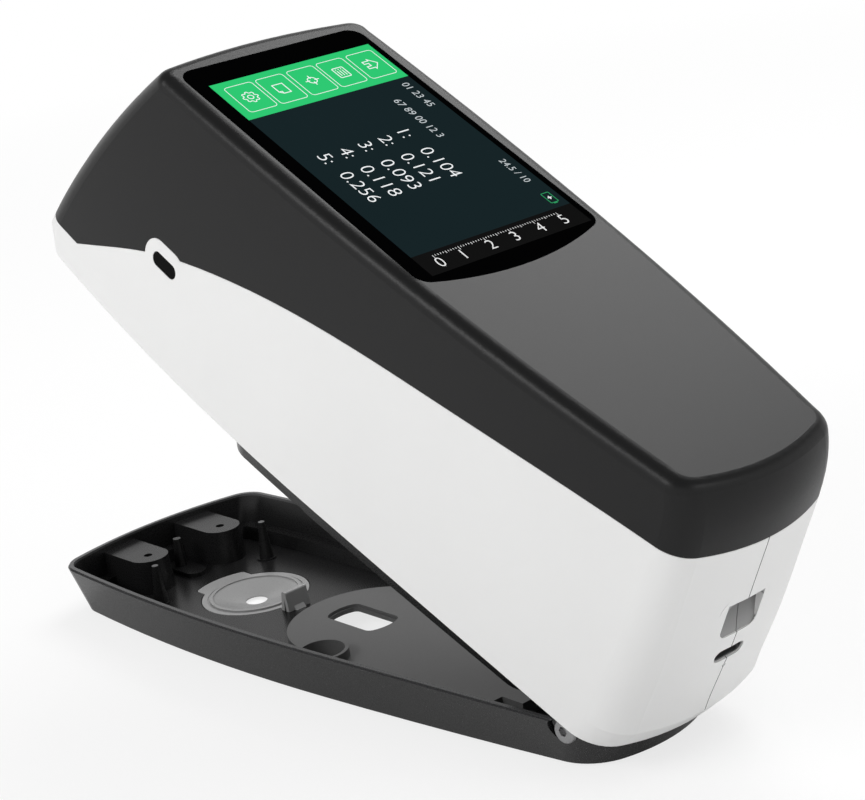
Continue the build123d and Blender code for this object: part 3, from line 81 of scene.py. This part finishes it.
def joined(tree, operation, first, *others):
    """One number from two or more sockets."""
    for other in others:
        node = tree.nodes.new("ShaderNodeMath")
        node.operation = operation
        tree.links.new(first, node.inputs[0])
        tree.links.new(other, node.inputs[1])
        first = node.outputs[0]
    return first


class Graph:
    """A material's node tree, with one short call per node."""

    def __init__(self, name):
        self.material = bpy.data.materials.new(name)
        self.material.use_nodes = True
        self.tree = self.material.node_tree
        self.shader = self.tree.nodes["Principled BSDF"]
        self.place = self.tree.nodes.new("ShaderNodeTexCoord").outputs["Object"]

    def link(self, source, target):
        self.tree.links.new(source, target)

    def noise(self, size, detail=3.0, stretch=None):
        """Noise whose features are about this many millimetres across."""
        node = self.tree.nodes.new("ShaderNodeTexNoise")
        node.inputs["Scale"].default_value = 1 / (size * MM)
        node.inputs["Detail"].default_value = detail
        place = self.place
        if stretch:
            mapping = self.tree.nodes.new("ShaderNodeMapping")
            mapping.inputs["Scale"].default_value = stretch
            self.link(place, mapping.inputs["Vector"])
            place = mapping.outputs["Vector"]
        self.link(place, node.inputs["Vector"])
        return node.outputs["Fac"]

    def axes(self, vector):
        """The three coordinates of a vector, each as a socket."""
        node = self.tree.nodes.new("ShaderNodeSeparateXYZ")
        self.link(vector, node.inputs[0])
        return node.outputs[0], node.outputs[1], node.outputs[2]

    def times(self, *values):
        return joined(self.tree, "MULTIPLY", *values)

    def highest(self, *values):
        return joined(self.tree, "MAXIMUM", *values)

    def cells(self, size):
        node = self.tree.nodes.new("ShaderNodeTexVoronoi")
        node.inputs["Scale"].default_value = 1 / (size * MM)
        self.link(self.place, node.inputs["Vector"])
        return node.outputs["Distance"]

    def ranged(self, source, low, high):
        """From low to high over the middle of a noise, where most of its values lie."""
        return mapped(self.tree, source, *NOISE_MIDDLE, low, high)

    def mixed(self, factor, first, second):
        node = self.tree.nodes.new("ShaderNodeMix")
        node.data_type = "RGBA"
        for socket, value in (("A", first), ("B", second)):
            found = next(s for s in node.inputs if s.name == socket and s.type == "RGBA")
            if isinstance(value, tuple):
                found.default_value = (*value, 1)
            else:
                self.link(value, found)
        factor_in = next(s for s in node.inputs if s.name == "Factor" and s.type == "VALUE")
        self.link(factor, factor_in)
        return next(s for s in node.outputs if s.type == "RGBA")

    def drifting(self, colour, size, spread=TONE_DRIFT, detail=2.0):
        """The colour, a little darker in some places and lighter in others."""
        noise = self.noise(size, detail)
        return self.mixed(noise, shade(colour, 1 - spread), shade(colour, 1 + spread))

    def between(self, source, low, high, soft_by=0.05):
        """1 where the coordinate lies between two values in mm, with soft ends."""
        after = mapped(self.tree, source, (low - soft_by) * MM, (low + soft_by) * MM)
        before = mapped(self.tree, source, (high + soft_by) * MM, (high - soft_by) * MM)
        return self.times(after, before)

    def bump(self, height, depth):
        node = self.tree.nodes.new("ShaderNodeBump")
        node.inputs["Strength"].default_value = 1.0
        node.inputs["Distance"].default_value = depth * MM
        self.link(height, node.inputs["Height"])
        self.link(node.outputs["Normal"], self.shader.inputs["Normal"])

    def satin(self, tone, rough, grain, depth, specular):
        """The rest of a moulded piece: spark-eroded grain and uneven sheen."""
        self.link(tone, self.shader.inputs["Base Color"])
        fine = self.noise(grain, GRAIN_DETAIL)
        sheen = self.ranged(fine, rough - SHEEN_DRIFT, rough + SHEEN_DRIFT)
        self.link(sheen, self.shader.inputs["Roughness"])
        self.bump(fine, depth)
        self.fixed(Specular_IOR_Level=specular)
        return self.material

    def fixed(self, **values):
        for name, value in values.items():
            socket = self.shader.inputs[name.replace("_", " ")]
            socket.default_value = (*value, 1) if isinstance(value, tuple) else value


def shade(colour, share):
    return tuple(min(1.0, c * share) for c in colour)


def moulded(name, colour, rough, grain, depth, specular):
    """Injection-moulded plastic. The tone drifts slowly across the piece."""
    g = Graph(name)
    return g.satin(g.drifting(colour, DRIFT_SIZE), rough, grain, depth, specular)


SHELL_WHITE = (0.80, 0.80, 0.795)
SHADE = 0.07               # what is left of the white under the painted shade in the bottom of the pocket and in the seam
SEAM_HALF = 0.115          # of the gap between the two white shells, where shade is painted
SEAM_SOFT = 0.002

# The pocket at the heel, in millimetres with the instrument closed.
HEEL_Y = -106.4
POCKET_HALF = 5.8
POCKET_LOW, POCKET_HIGH = 45.55, 55.2
POCKET_DEEP = 3.2
POCKET_SKIN = 0.55         # depth where the painted shade begins, past the heel's own curve
POCKET_SLACK = 0.3         # how far behind the floor the painted shade still reaches
SHADE_DEPTH = 0.3          # depth where the painted shade is MOUTH_SHADE of what it is at the bottom
MOUTH_SHADE = 0.7
# Towards its low end the floor comes nearer to the face than POCKET_SKIN.
SHALLOW_HIGH = 1.6         # as far up as this from the low end
SHALLOW_SKIN = 0.33
SHALLOW_SIDE = 0.3         # kept clear of the side edges
SHALLOW_DEEP = 1.0
SHALLOW_SOFT = 0.03


def white_shell():
    """White plastic with painted shade: darker in the bottom of the pocket and between the two
    shells.
    """
    g = Graph("white_plastic_painted_shade")
    closed = g.tree.nodes.new("ShaderNodeMapping")
    closed.vector_type = "TEXTURE"
    closed.inputs["Location"].default_value = HINGE
    closed.inputs["Rotation"].default_value = (OPEN, 0, 0)
    g.link(g.place, closed.inputs["Vector"])
    # x, y and z run from the hinge, along the closed instrument
    x, y, z = g.axes(closed.outputs["Vector"])
    heel = HEEL_Y - HINGE.y / MM
    low, high = POCKET_LOW - HINGE.z / MM, POCKET_HIGH - HINGE.z / MM
    deepest = heel + POCKET_DEEP
    deep = mapped(g.tree, y, (heel + SHADE_DEPTH) * MM, deepest * MM, MOUTH_SHADE)
    level = g.between(z, low, high)
    pocket = g.times(
        g.between(x, -POCKET_HALF, POCKET_HALF),
        level,
        g.between(y, heel + POCKET_SKIN, deepest + POCKET_SLACK),
    )
    shallow = g.times(
        g.between(x, SHALLOW_SIDE - POCKET_HALF, POCKET_HALF - SHALLOW_SIDE),
        g.between(z, low, low + SHALLOW_HIGH),
        g.between(y, heel + SHALLOW_SKIN, heel + SHALLOW_DEEP, SHALLOW_SOFT),
    )
    seam = g.times(g.between(x, -SEAM_HALF, SEAM_HALF, SEAM_SOFT), g.ranged(level, 1.0, 0.0))
    # painted shade: the white is darkened where shade falls in the pocket and in the seam between
    # the shells
    painted_shade = g.highest(g.times(g.highest(pocket, shallow), deep), seam)
    tone = g.mixed(painted_shade, g.drifting(SHELL_WHITE, DRIFT_SIZE), shade(SHELL_WHITE, SHADE))
    return g.satin(tone, 0.38, 0.5, 0.004, 0.5)


SHOE_BLACK = (0.009, 0.009, 0.0092)
RIM_LOW, RIM_HIGH = 13.87, 14.6     # mm, over the two steps of the shoe's rim, where the highlight is painted
RIM_SOFT = 0.02
RIM_PAINTED_HIGHLIGHT = 7.0


def shoe_plastic():
    """Near-black plastic, paler on the rim: a painted highlight for the light along its edges."""
    g = Graph("shoe_plastic")
    height = g.axes(g.place)[2]
    rim = g.between(height, RIM_LOW, RIM_HIGH, RIM_SOFT)
    # painted highlight: the rim's black made paler to stand for light along its edges
    tone = g.mixed(rim, SHOE_BLACK, shade(SHOE_BLACK, RIM_PAINTED_HIGHLIGHT))
    return g.satin(tone, 0.28, 0.3, 0.002, 0.24)


def machined(name, colour, rough, stretch):
    """Turned or drawn metal, with fine marks along one way."""
    g = Graph(name)
    marks = g.noise(0.5, GRAIN_DETAIL, stretch)
    g.link(g.mixed(marks, shade(colour, 0.86), shade(colour, 1.08)), g.shader.inputs["Base Color"])
    g.link(g.ranged(marks, rough - 0.06, rough + 0.08), g.shader.inputs["Roughness"])
    g.bump(marks, 0.01)
    g.fixed(Metallic=1.0)
    return g.material


def soft(name, colour, rough, cell, depth):
    """Foam or rubber: open cells, no sheen to speak of."""
    g = Graph(name)
    pores = g.cells(cell)
    g.link(g.mixed(pores, shade(colour, 0.8), shade(colour, 1.2)), g.shader.inputs["Base Color"])
    g.link(g.ranged(pores, rough - 0.05, rough + 0.05), g.shader.inputs["Roughness"])
    g.bump(pores, depth)
    g.fixed(Specular_IOR_Level=0.25)
    return g.material


def board(name):
    """Green solder mask over copper pours."""
    g = Graph(name)
    pour = g.noise(7.0, 1.0)
    g.link(g.mixed(pour, (0.012, 0.105, 0.045), (0.02, 0.16, 0.07)), g.shader.inputs["Base Color"])
    g.link(g.ranged(g.noise(0.6), 0.28, 0.4), g.shader.inputs["Roughness"])
    g.bump(pour, 0.02)
    return g.material


def coated_glass(name, colour, rough, specular):
    """Smooth glass or lacquer with a faint haze."""
    g = Graph(name)
    haze = g.noise(25.0, 2.0)
    g.link(g.mixed(haze, shade(colour, 0.9), shade(colour, 1.1)), g.shader.inputs["Base Color"])
    g.link(g.ranged(haze, rough, rough * 1.5), g.shader.inputs["Roughness"])
    g.fixed(Specular_IOR_Level=specular)
    return g.material


def lit(name, colour, spread=0.03):
    """A lit part of the display, with the faint unevenness of its backlight."""
    g = Graph(name)
    g.link(g.drifting(colour, 30.0, spread, 1.0), g.shader.inputs["Emission Color"])
    g.fixed(Base_Color=(0.0, 0.0, 0.0), Roughness=0.35, Specular_IOR_Level=0.0)
    g.fixed(Emission_Strength=1.0)
    return g.material


# moulded: colour, roughness, grain and its depth in mm, specular level
# machined: colour, roughness, stretch of the marks; soft: colour, roughness, cell and depth in mm
# coated_glass: colour, roughness, specular level
FINISHES = {
    "casing_dark": moulded("dark_satin_plastic", (0.012, 0.012, 0.0122), 0.34, 0.35, 0.003, 0.17),
    "casing_white": white_shell(),
    "shoe_dark": shoe_plastic(),
    "shoe_floor": moulded("platform_plastic", (0.1, 0.1, 0.1), 0.45, 0.3, 0.006, 0.4),
    "target_grey": moulded("target_plastic", (0.31, 0.31, 0.31), 0.3, 0.3, 0.003, 0.5),
    "button_black": moulded("button_plastic", (0.002, 0.002, 0.002), 0.4, 0.3, 0.002, 0.03),
    "screen_glass": coated_glass("display_glass_black", (0.0008, 0.0008, 0.0009), 0.08, 0.0),
    "screen_panel": coated_glass("panel_metal", (0.05, 0.05, 0.055), 0.3, 0.4),
    "foam": soft("closed_cell_foam", (0.02, 0.02, 0.02), 0.9, 0.4, 0.05),
    "rubber": soft("foot_rubber", (0.018, 0.018, 0.018), 0.8, 0.25, 0.02),
    "steel": machined("zinc_steel", (0.34, 0.34, 0.345), 0.34, (1.0, 6.0, 6.0)),
    "spring_steel": machined("spring_wire", (0.42, 0.42, 0.43), 0.26, (6.0, 1.0, 1.0)),
    "bronze": machined("oiled_bronze", (0.42, 0.27, 0.13), 0.38, (1.0, 8.0, 8.0)),
    "circuit_board": board("solder_mask"),
    "inner_plastic": moulded("frame_plastic", (0.05, 0.05, 0.052), 0.55, 0.4, 0.01, 0.4),
    "battery_wrap": moulded("battery_sleeve", (0.06, 0.09, 0.22), 0.3, 1.5, 0.02, 0.5),
    "black_metal": machined("black_anodised", (0.03, 0.03, 0.032), 0.35, (8.0, 8.0, 1.0)),
    "lens_glass": coated_glass("coated_lens", (0.02, 0.03, 0.06), 0.03, 0.8),
    "ribbon": moulded("ribbon_film", (0.32, 0.16, 0.03), 0.35, 1.0, 0.01, 0.5),
    "light_pipe": moulded("clear_light_pipe", (0.5, 0.52, 0.52), 0.2, 0.5, 0.002, 0.5),
}


def dress_nodes():
    for part in frame["record"]["subparts"]:
        node = NODES[part["node"]]
        node.data.materials.clear()
        node.data.materials.append(FINISHES[part["material_slot"]])


# ------------------------------------------------------------ the lit display
def face_frame(node):
    """Matrix of the glass's outer face: origin at the middle of its far edge, x across, y up."""
    mesh = node.data
    normal = max(mesh.polygons, key=lambda p: p.area if p.normal.z > 0 else 0).normal.copy()
    across = Vector((1, 0, 0))
    up = normal.cross(across).normalized()
    points = [v.co for v in mesh.vertices]
    side = [p.dot(across) for p in points]
    origin = (min(side) + max(side)) / 2 * across
    origin += max(p.dot(up) for p in points) * up + max(p.dot(normal) for p in points) * normal
    axes = Matrix((across, up, normal)).transposed().to_4x4()
    return Matrix.Translation(origin) @ axes


FACE = face_frame(NODES["display_glass"])
SCREEN = FACE @ Matrix.Translation(Vector((SCREEN_ACROSS, SCREEN_UP, 0)) * MM)
# the readouts are read with the instrument held sideways: their lines run towards the heel
SIDEWAYS = SCREEN @ Matrix.Rotation(-math.pi / 2, 4, "Z")


def place(mesh, name, matrix, material, slot):
    """Make a piece of the instrument from a mesh drawn on the frame that the matrix gives."""
    mesh.transform(matrix)
    mesh.name = name
    piece = bpy.data.objects.new(name, mesh)
    bpy.context.scene.collection.objects.link(piece)
    mesh.materials.clear()
    mesh.materials.append(material)
    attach(piece, "instrument")


def prism(bm, outline, top):
    """Add a closed prism over an outline; its foot is on the glass. All in millimetres."""
    rings = [[bm.verts.new((x * MM, y * MM, z * MM)) for x, y in outline] for z in (0, top)]
    bm.faces.new(rings[1])
    bm.faces.new(reversed(rings[0]))
    count = len(outline)
    for i in range(count):
        j = (i + 1) % count
        bm.faces.new((rings[0][i], rings[0][j], rings[1][j], rings[1][i]))


def stroke(bm, points, width, closed=True):
    """Add a line of even width through the points, mitred at its corners."""
    path = [Vector(p) for p in points]
    count = len(path)
    left, right = [], []
    for i, p in enumerate(path):
        before = path[i - 1] if closed or i else None
        after = path[(i + 1) % count] if closed or i < count - 1 else None
        d1 = (p - before).normalized() if before is not None else (after - p).normalized()
        d2 = (after - p).normalized() if after is not None else d1
        n1, n2 = Vector((-d1.y, d1.x)), Vector((-d2.y, d2.x))
        mitre = (n1 + n2).normalized()
        reach = width / 2 / max(MITRE_LEAST, mitre.dot(n1))
        left.append(p + mitre * reach)
        right.append(p - mitre * reach)
    rings = [[bm.verts.new((q.x * MM, q.y * MM, z * MM)) for q in side]
             for side in (left, right) for z in (LINES_TOP, 0)]
    lt, lb, rt, rb = rings
    for i in range(count if closed else count - 1):
        j = (i + 1) % count
        bm.faces.new((lt[i], rt[i], rt[j], lt[j]))
        bm.faces.new((lb[i], lb[j], rb[j], rb[i]))
        bm.faces.new((lt[i], lt[j], lb[j], lb[i]))
        bm.faces.new((rt[i], rb[i], rb[j], rt[j]))
    if not closed:
        for i in (0, count - 1):
            bm.faces.new((lt[i], lb[i], rb[i], rt[i]))


def finished(bm):
    bmesh.ops.recalc_face_normals(bm, faces=bm.faces)
    mesh = bpy.data.meshes.new("layer")
    bm.to_mesh(mesh)
    bm.free()
    return mesh


def box(x0, x1, y0, y1):
    return [(x0, y0), (x1, y0), (x1, y1), (x0, y1)]


def ring(cx, cy, radius, count=24):
    turns = [2 * math.pi * i / count for i in range(count)]
    return [(cx + radius * math.cos(a), cy + radius * math.sin(a)) for a in turns]


def rounded(x0, x1, y0, y1, radius, steps=5):
    """Outline of a rectangle with round corners, anticlockwise."""
    out = []
    left, right, near, far = x0 + radius, x1 - radius, y0 + radius, y1 - radius
    for k, (cx, cy) in enumerate(((right, far), (left, far), (left, near), (right, near))):
        for i in range(steps + 1):
            a = math.pi / 2 * (k + i / steps)
            out.append((cx + radius * math.cos(a), cy + radius * math.sin(a)))
    return out


def plate(name, low, high, material, slot):
    """A thin layer as wide as the screen, between two places up the face."""
    bm = bmesh.new()
    prism(bm, box(-SCREEN_HALF, SCREEN_HALF, low, high), LAYER)
    place(finished(bm), name, SCREEN, material, slot)


def written(lines, weight, wide=1.0):
    """One mesh of plain numerals. A line is its text, left end, baseline and height, in mm.

    The weight is what the strokes gain or lose, as a share of the type's size.
    """
    whole = bmesh.new()
    for text, x, y, height in lines:
        curve = bpy.data.curves.new("line", "FONT")
        curve.body = text
        curve.size = 1.0
        curve.resolution_u = 4
        curve.extrude = 0.5
        curve.offset = weight
        holder = bpy.data.objects.new("line", curve)
        mesh = bpy.data.meshes.new_from_object(holder)
        xs = [v.co.x for v in mesh.vertices]
        ys = [v.co.y for v in mesh.vertices]
        scale = height / (max(ys) - min(ys))
        fit = Matrix.Translation(Vector((x, y, LINES_TOP / 2)) * MM)
        fit @= Matrix.Diagonal((wide * scale * MM, scale * MM, LINES_TOP * MM, 1))
        mesh.transform(fit @ Matrix.Translation((-min(xs), -min(ys), 0)))
        whole.from_mesh(mesh)
        bpy.data.objects.remove(holder)
        bpy.data.curves.remove(curve)
        bpy.data.meshes.remove(mesh)
    bmesh.ops.remove_doubles(whole, verts=whole.verts, dist=WELD)
    mesh = bpy.data.meshes.new("numerals")
    whole.to_mesh(mesh)
    whole.free()
    return mesh


def gear(cx, cy, outer, inner, teeth=8, points=8, flatten=1.8):
    """Round-toothed wheel outline, with so many points to a tooth and flattened tips."""
    count = teeth * points
    mid, swing = (outer + inner) / 2, (outer - inner) / 2
    out = []
    for i in range(count):
        a = 2 * math.pi * i / count
        wave = max(-1.0, min(1.0, flatten * math.cos(teeth * a)))
        reach = mid + swing * wave
        out.append((cx + reach * math.cos(a), cy + reach * math.sin(a)))
    return out


ICON_ACROSS = (-18.0, -8.8, 0.6, 9.7, 19.1)   # middles of the five menu keys
ICON_UP = 29.0
KEY_HALF_ACROSS = 4.05
KEY_HALF_UP = 5.4
KEY_CORNER = 0.9
KEY_LINE = 0.15            # widths of the lines
WHEEL_LINE = 0.22
ICON_LINE = 0.24
FINE_LINE = 0.2
# pictograms, from the middle of a key and read sideways
WHEEL_TIP, WHEEL_ROOT, WHEEL_HUB = 2.1, 1.65, 0.75
CARD = ((-1.9, -1.5), (1.0, -1.5), (1.9, -0.6), (1.9, 1.5), (-1.9, 1.5))
CARD_FOLD = ((1.0, -1.5), (1.0, -0.6), (1.9, -0.6))
HOUSE = (
    (-1.5, -1.7), (-1.5, 0.2), (-2.1, 0.2), (0, 2.0), (2.1, 0.2), (1.5, 0.2),
    (1.5, -1.7), (0.55, -1.7), (0.55, -0.4), (-0.55, -0.4), (-0.55, -1.7),
)
AIM_RING = 1.2
AIM_INNER, AIM_OUTER = 0.7, 2.0     # ends of the four cross lines
LIST_HALF_U, LIST_HALF_V = 2.0, 1.6
LIST_CORNER = 0.3
LIST_ROWS = (-0.8, 0.0, 0.8)
LIST_LINE = (-0.8, 1.3)
LIST_DOT = (-1.5, -1.15)   # a short line that begins the row


def make_menu():
    """Five outlined keys with plain pictograms, drawn to be read sideways."""
    bm = bmesh.new()
    # in the sideways frame u runs towards the heel and v to +X
    u = -ICON_UP

    def moved(points, v):
        return [(u + du, v + dv) for du, dv in points]

    for v in ICON_ACROSS:
        sides = u - KEY_HALF_UP, u + KEY_HALF_UP, v - KEY_HALF_ACROSS, v + KEY_HALF_ACROSS
        stroke(bm, rounded(*sides, KEY_CORNER), KEY_LINE)
    settings, card, aim, listing, home = ICON_ACROSS
    stroke(bm, gear(u, settings, WHEEL_TIP, WHEEL_ROOT), WHEEL_LINE)
    stroke(bm, ring(u, settings, WHEEL_HUB), WHEEL_LINE)
    stroke(bm, moved(CARD, card), ICON_LINE)
    stroke(bm, moved(CARD_FOLD, card), FINE_LINE, False)
    stroke(bm, ring(u, aim, AIM_RING), ICON_LINE)
    for du, dv in ((1, 0), (-1, 0), (0, 1), (0, -1)):
        ends = [(reach * du, reach * dv) for reach in (AIM_INNER, AIM_OUTER)]
        stroke(bm, moved(ends, aim), ICON_LINE, False)
    sides = u - LIST_HALF_U, u + LIST_HALF_U, listing - LIST_HALF_V, listing + LIST_HALF_V
    stroke(bm, rounded(*sides, LIST_CORNER), ICON_LINE)
    for dv in LIST_ROWS:
        for ends in (LIST_LINE, LIST_DOT):
            stroke(bm, moved([(du, dv) for du in ends], listing), FINE_LINE, False)
    stroke(bm, moved(HOUSE, home), ICON_LINE)
    place(finished(bm), "menu_pictograms", SIDEWAYS, LIT_WHITE, "screen_panel")


READINGS = ("0.104", "0.121", "0.093", "0.118", "0.256")
ROW_V = 7.0                # first line of readings, and the step to the next
ROW_STEP = 6.1
LABEL_U = -2.9
NUMBER_U = 5.0
DIGIT_H = 3.5
STATUS = (                 # text, left end, baseline and height
    ("24.5 / 10", 16.4, 20.4, 1.9),
    ("01 23 45", -19.0, 20.2, 2.1),
    ("67 89 00 12 3", -14.0, 13.4, 2.1),
)


def make_readout():
    lines = []
    for i, reading in enumerate(READINGS):
        v = ROW_V - i * ROW_STEP - DIGIT_H / 2
        lines.append((f"{i + 1}:", LABEL_U, v, DIGIT_H))
        lines.append((reading, NUMBER_U, v, DIGIT_H))
    readings = written(lines, -0.017, 1.08)
    place(readings, "readout_numerals", SIDEWAYS, LIT_WHITE, "screen_panel")
    place(written(STATUS, -0.008), "status_numerals", SIDEWAYS, LIT_GREY, "screen_panel")


BATTERY_U, BATTERY_V = 33.1, 21.5
BATTERY_HALF_U, BATTERY_HALF_V = 1.9, 1.15
BATTERY_CORNER = 0.25
NUB_FROM, NUB_TO, NUB_HALF = 2.0, 2.3, 0.5
PLUS_ARM, PLUS_HALF = 0.6, 0.13


def make_battery_icon():
    u, v = BATTERY_U, BATTERY_V
    bm = bmesh.new()
    sides = u - BATTERY_HALF_U, u + BATTERY_HALF_U, v - BATTERY_HALF_V, v + BATTERY_HALF_V
    stroke(bm, rounded(*sides, BATTERY_CORNER), FINE_LINE)
    prism(bm, box(u + NUB_FROM, u + NUB_TO, v - NUB_HALF, v + NUB_HALF), LINES_TOP)
    place(finished(bm), "battery_outline", SIDEWAYS, LIT_DARK_GREEN, "screen_panel")
    bm = bmesh.new()
    arm, thin = PLUS_ARM, PLUS_HALF
    quarter = ((-arm, -thin), (-thin, -thin), (-thin, -arm))
    corners = []
    for _ in range(4):
        corners += quarter
        quarter = [(-dv, du) for du, dv in quarter]
    prism(bm, [(u + du, v + dv) for du, dv in corners], LINES_TOP)
    place(finished(bm), "battery_plus", SIDEWAYS, LIT_WHITE, "screen_panel")


SCALE_NUMERALS = ("0", "1", "2", "3", "4", "5")
SCALE_FIRST = -19.5
SCALE_STEP = 7.6
NUMERAL_LEFT = 0.9         # from a numeral's left end to its tick
NUMERAL_UP = -42.6
NUMERAL_H = 3.2
TICK_UP = -38.3
TICK_HALF = 0.07
TICK_LONG, TICK_MIDDLE, TICK_SHORT = 1.1, 0.8, 0.5


def make_scale():
    """A plain numbered scale, printed on the glass under the screen."""
    lines = []
    for i, numeral in enumerate(SCALE_NUMERALS):
        left = SCALE_FIRST + i * SCALE_STEP - NUMERAL_LEFT
        lines.append((numeral, left, NUMERAL_UP, NUMERAL_H))
    place(written(lines, -0.01), "scale_numerals", SCREEN, PRINT_WHITE, "screen_glass")
    bm = bmesh.new()
    for i in range(10 * (len(SCALE_NUMERALS) - 1) + 1):
        x = SCALE_FIRST + i * SCALE_STEP / 10
        long = TICK_LONG if i % 10 == 0 else TICK_MIDDLE if i % 5 == 0 else TICK_SHORT
        prism(bm, box(x - TICK_HALF, x + TICK_HALF, TICK_UP - long, TICK_UP), LINES_TOP)
    place(finished(bm), "scale_ticks", SCREEN, PRINT_WHITE, "screen_glass")


LIT_WHITE = lit("lit_white", (0.92, 0.95, 0.96))
LIT_GREY = lit("lit_grey", (0.55, 0.6, 0.62))
LIT_GREEN = lit("lit_green", (0.028, 0.58, 0.17))
LIT_DARK_GREEN = lit("lit_dark_green", (0.03, 0.33, 0.12))
LIT_TEAL = lit("lit_teal", (0.0085, 0.0176, 0.0203), 0.06)
PRINT_BLACK = coated_glass("printed_strip", (0.006, 0.006, 0.006), 0.2, 0.0)
PRINT_WHITE = moulded("printed_white", (0.7, 0.7, 0.7), 0.5, 0.5, 0.0005, 0.3)


def make_display():
    plate("lit_screen", SCREEN_NEAR, BAR_NEAR, LIT_TEAL, "screen_panel")
    plate("menu_bar", BAR_NEAR, SCREEN_FAR, LIT_GREEN, "screen_panel")
    plate("printed_strip", STRIP_NEAR, SCREEN_NEAR, PRINT_BLACK, "screen_glass")
    make_menu()
    make_readout()
    make_battery_icon()
    make_scale()


# ------------------------------------------------------------ stage
CAMERA_AT = Vector((-0.3356, -0.4385, 0.2359))
CAMERA_RIGHT = Vector((0.7392, -0.6607, -0.1310))
CAMERA_UP = Vector((0.2926, 0.1399, 0.9460))
CAMERA_BACK = Vector((-0.6066, -0.7375, 0.2968))
CAMERA_LENS = 97.05
CAMERA_SENSOR = 36.0


def make_camera():
    data = bpy.data.cameras.new("camera")
    data.lens = CAMERA_LENS
    data.sensor_width = CAMERA_SENSOR
    data.clip_start = 0.01
    data.clip_end = 20
    camera = bpy.data.objects.new("camera", data)
    turn = Matrix((CAMERA_RIGHT, CAMERA_UP, CAMERA_BACK)).transposed().to_4x4()
    camera.matrix_world = Matrix.Translation(CAMERA_AT) @ turn
    bpy.context.scene.collection.objects.link(camera)
    bpy.context.scene.camera = camera


# name, the point it shines on, the direction it stands in, distance, size and power
LAMPS = (
    ("key_above", (0, 0, 0.08), (0.61, 0.13, 0.78), 0.9, (0.55, 0.55), 4.6),
    ("front", (0, -0.1, 0.07), (0.25, -0.82, 0.48), 0.9, (0.3, 0.12), 0.65),
    ("fill_left", (0, 0, 0.08), (-0.8, 0.1, 0.54), 1.0, (0.7, 0.24), 4.2),
)


def softbox(name, target, towards, distance, size, power):
    data = bpy.data.lights.new(name, "AREA")
    data.shape = "RECTANGLE"
    data.size, data.size_y = size
    data.energy = power
    lamp = bpy.data.objects.new(name, data)
    direction = Vector(towards).normalized()
    lamp.location = Vector(target) + direction * distance
    lamp.rotation_mode = "QUATERNION"
    lamp.rotation_quaternion = direction.to_track_quat("Z", "Y")
    bpy.context.scene.collection.objects.link(lamp)


def seen(tree, mirrored=1.0):
    """1 for what the camera or a view through glass shows, and 0 for light on the object.

    A reflection gets the share that is given.
    """
    rays = tree.nodes.new("ShaderNodeLightPath")
    mirror = mapped(tree, rays.outputs["Is Glossy Ray"], 0.0, 1.0, 0.0, mirrored)
    direct = rays.outputs["Is Camera Ray"], rays.outputs["Is Transmission Ray"]
    return joined(tree, "MAXIMUM", *direct, mirror)


WORLD_LIGHT = 0.5
# The studio is white all round, with a dark ceiling behind the lamps.
CEILING = 0.12
CEILING_FROM = 0.35        # sine of the elevation where the ceiling begins, and where it is full
CEILING_FULL = 0.6
# Some of the floor's white doesn't depend on the lamps: a share by the object, and all of it
# at a distance. In reflections only a share of that shows, so that they keep the shadow.
FLOOR_WHITE = 0.75
FLOOR_FADE = (0.25, 1.0)   # metres from the object over which that rises to all of it
FLOOR_MIRRORED = 0.25
FLOOR_HALF = 4.0
FLOOR_TONES = (0.9, 0.9, 0.9), (0.93, 0.93, 0.93)
FLOOR_DRIFT = 300.0        # mm


def make_world():
    world = bpy.data.worlds.new("studio")
    world.use_nodes = True
    tree = world.node_tree
    back = tree.nodes["Background"]
    back.inputs["Color"].default_value = (1, 1, 1, 1)
    direction = tree.nodes.new("ShaderNodeSeparateXYZ")
    tree.links.new(tree.nodes.new("ShaderNodeTexCoord").outputs["Generated"], direction.inputs[0])
    up = direction.outputs["Z"]
    ceiling = mapped(tree, up, CEILING_FROM, CEILING_FULL, 1.0, CEILING)
    strength = mapped(tree, seen(tree), 0.0, 1.0, WORLD_LIGHT, ceiling)
    tree.links.new(strength, back.inputs["Strength"])
    bpy.context.scene.world = world


def floor_material():
    g = Graph("pale_floor")
    g.link(g.mixed(g.noise(FLOOR_DRIFT), *FLOOR_TONES), g.shader.inputs["Base Color"])
    g.fixed(Roughness=0.8, Specular_IOR_Level=0.1)
    away = g.tree.nodes.new("ShaderNodeVectorMath")
    away.operation = "LENGTH"
    g.link(g.place, away.inputs[0])
    fade = mapped(g.tree, away.outputs["Value"], *FLOOR_FADE, FLOOR_WHITE)
    white = g.tree.nodes.new("ShaderNodeEmission")
    both = g.tree.nodes.new("ShaderNodeMixShader")
    g.link(mapped(g.tree, seen(g.tree, FLOOR_MIRRORED), 0.0, 1.0, 0.0, fade), both.inputs["Fac"])
    g.link(g.shader.outputs["BSDF"], both.inputs[1])
    g.link(white.outputs["Emission"], both.inputs[2])
    g.link(both.outputs["Shader"], g.tree.nodes["Material Output"].inputs["Surface"])
    return g.material


def make_floor():
    bm = bmesh.new()
    bmesh.ops.create_grid(bm, x_segments=8, y_segments=8, size=FLOOR_HALF)
    mesh = bpy.data.meshes.new("floor")
    bm.to_mesh(mesh)
    bm.free()
    mesh.materials.append(floor_material())
    floor = bpy.data.objects.new("floor", mesh)
    bpy.context.scene.collection.objects.link(floor)


def make_stage():
    make_floor()
    make_world()
    for lamp in LAMPS:
        softbox(*lamp)
    make_camera()
    bpy.context.scene.view_settings.view_transform = "Standard"


dress_nodes()
make_display()
make_stage()
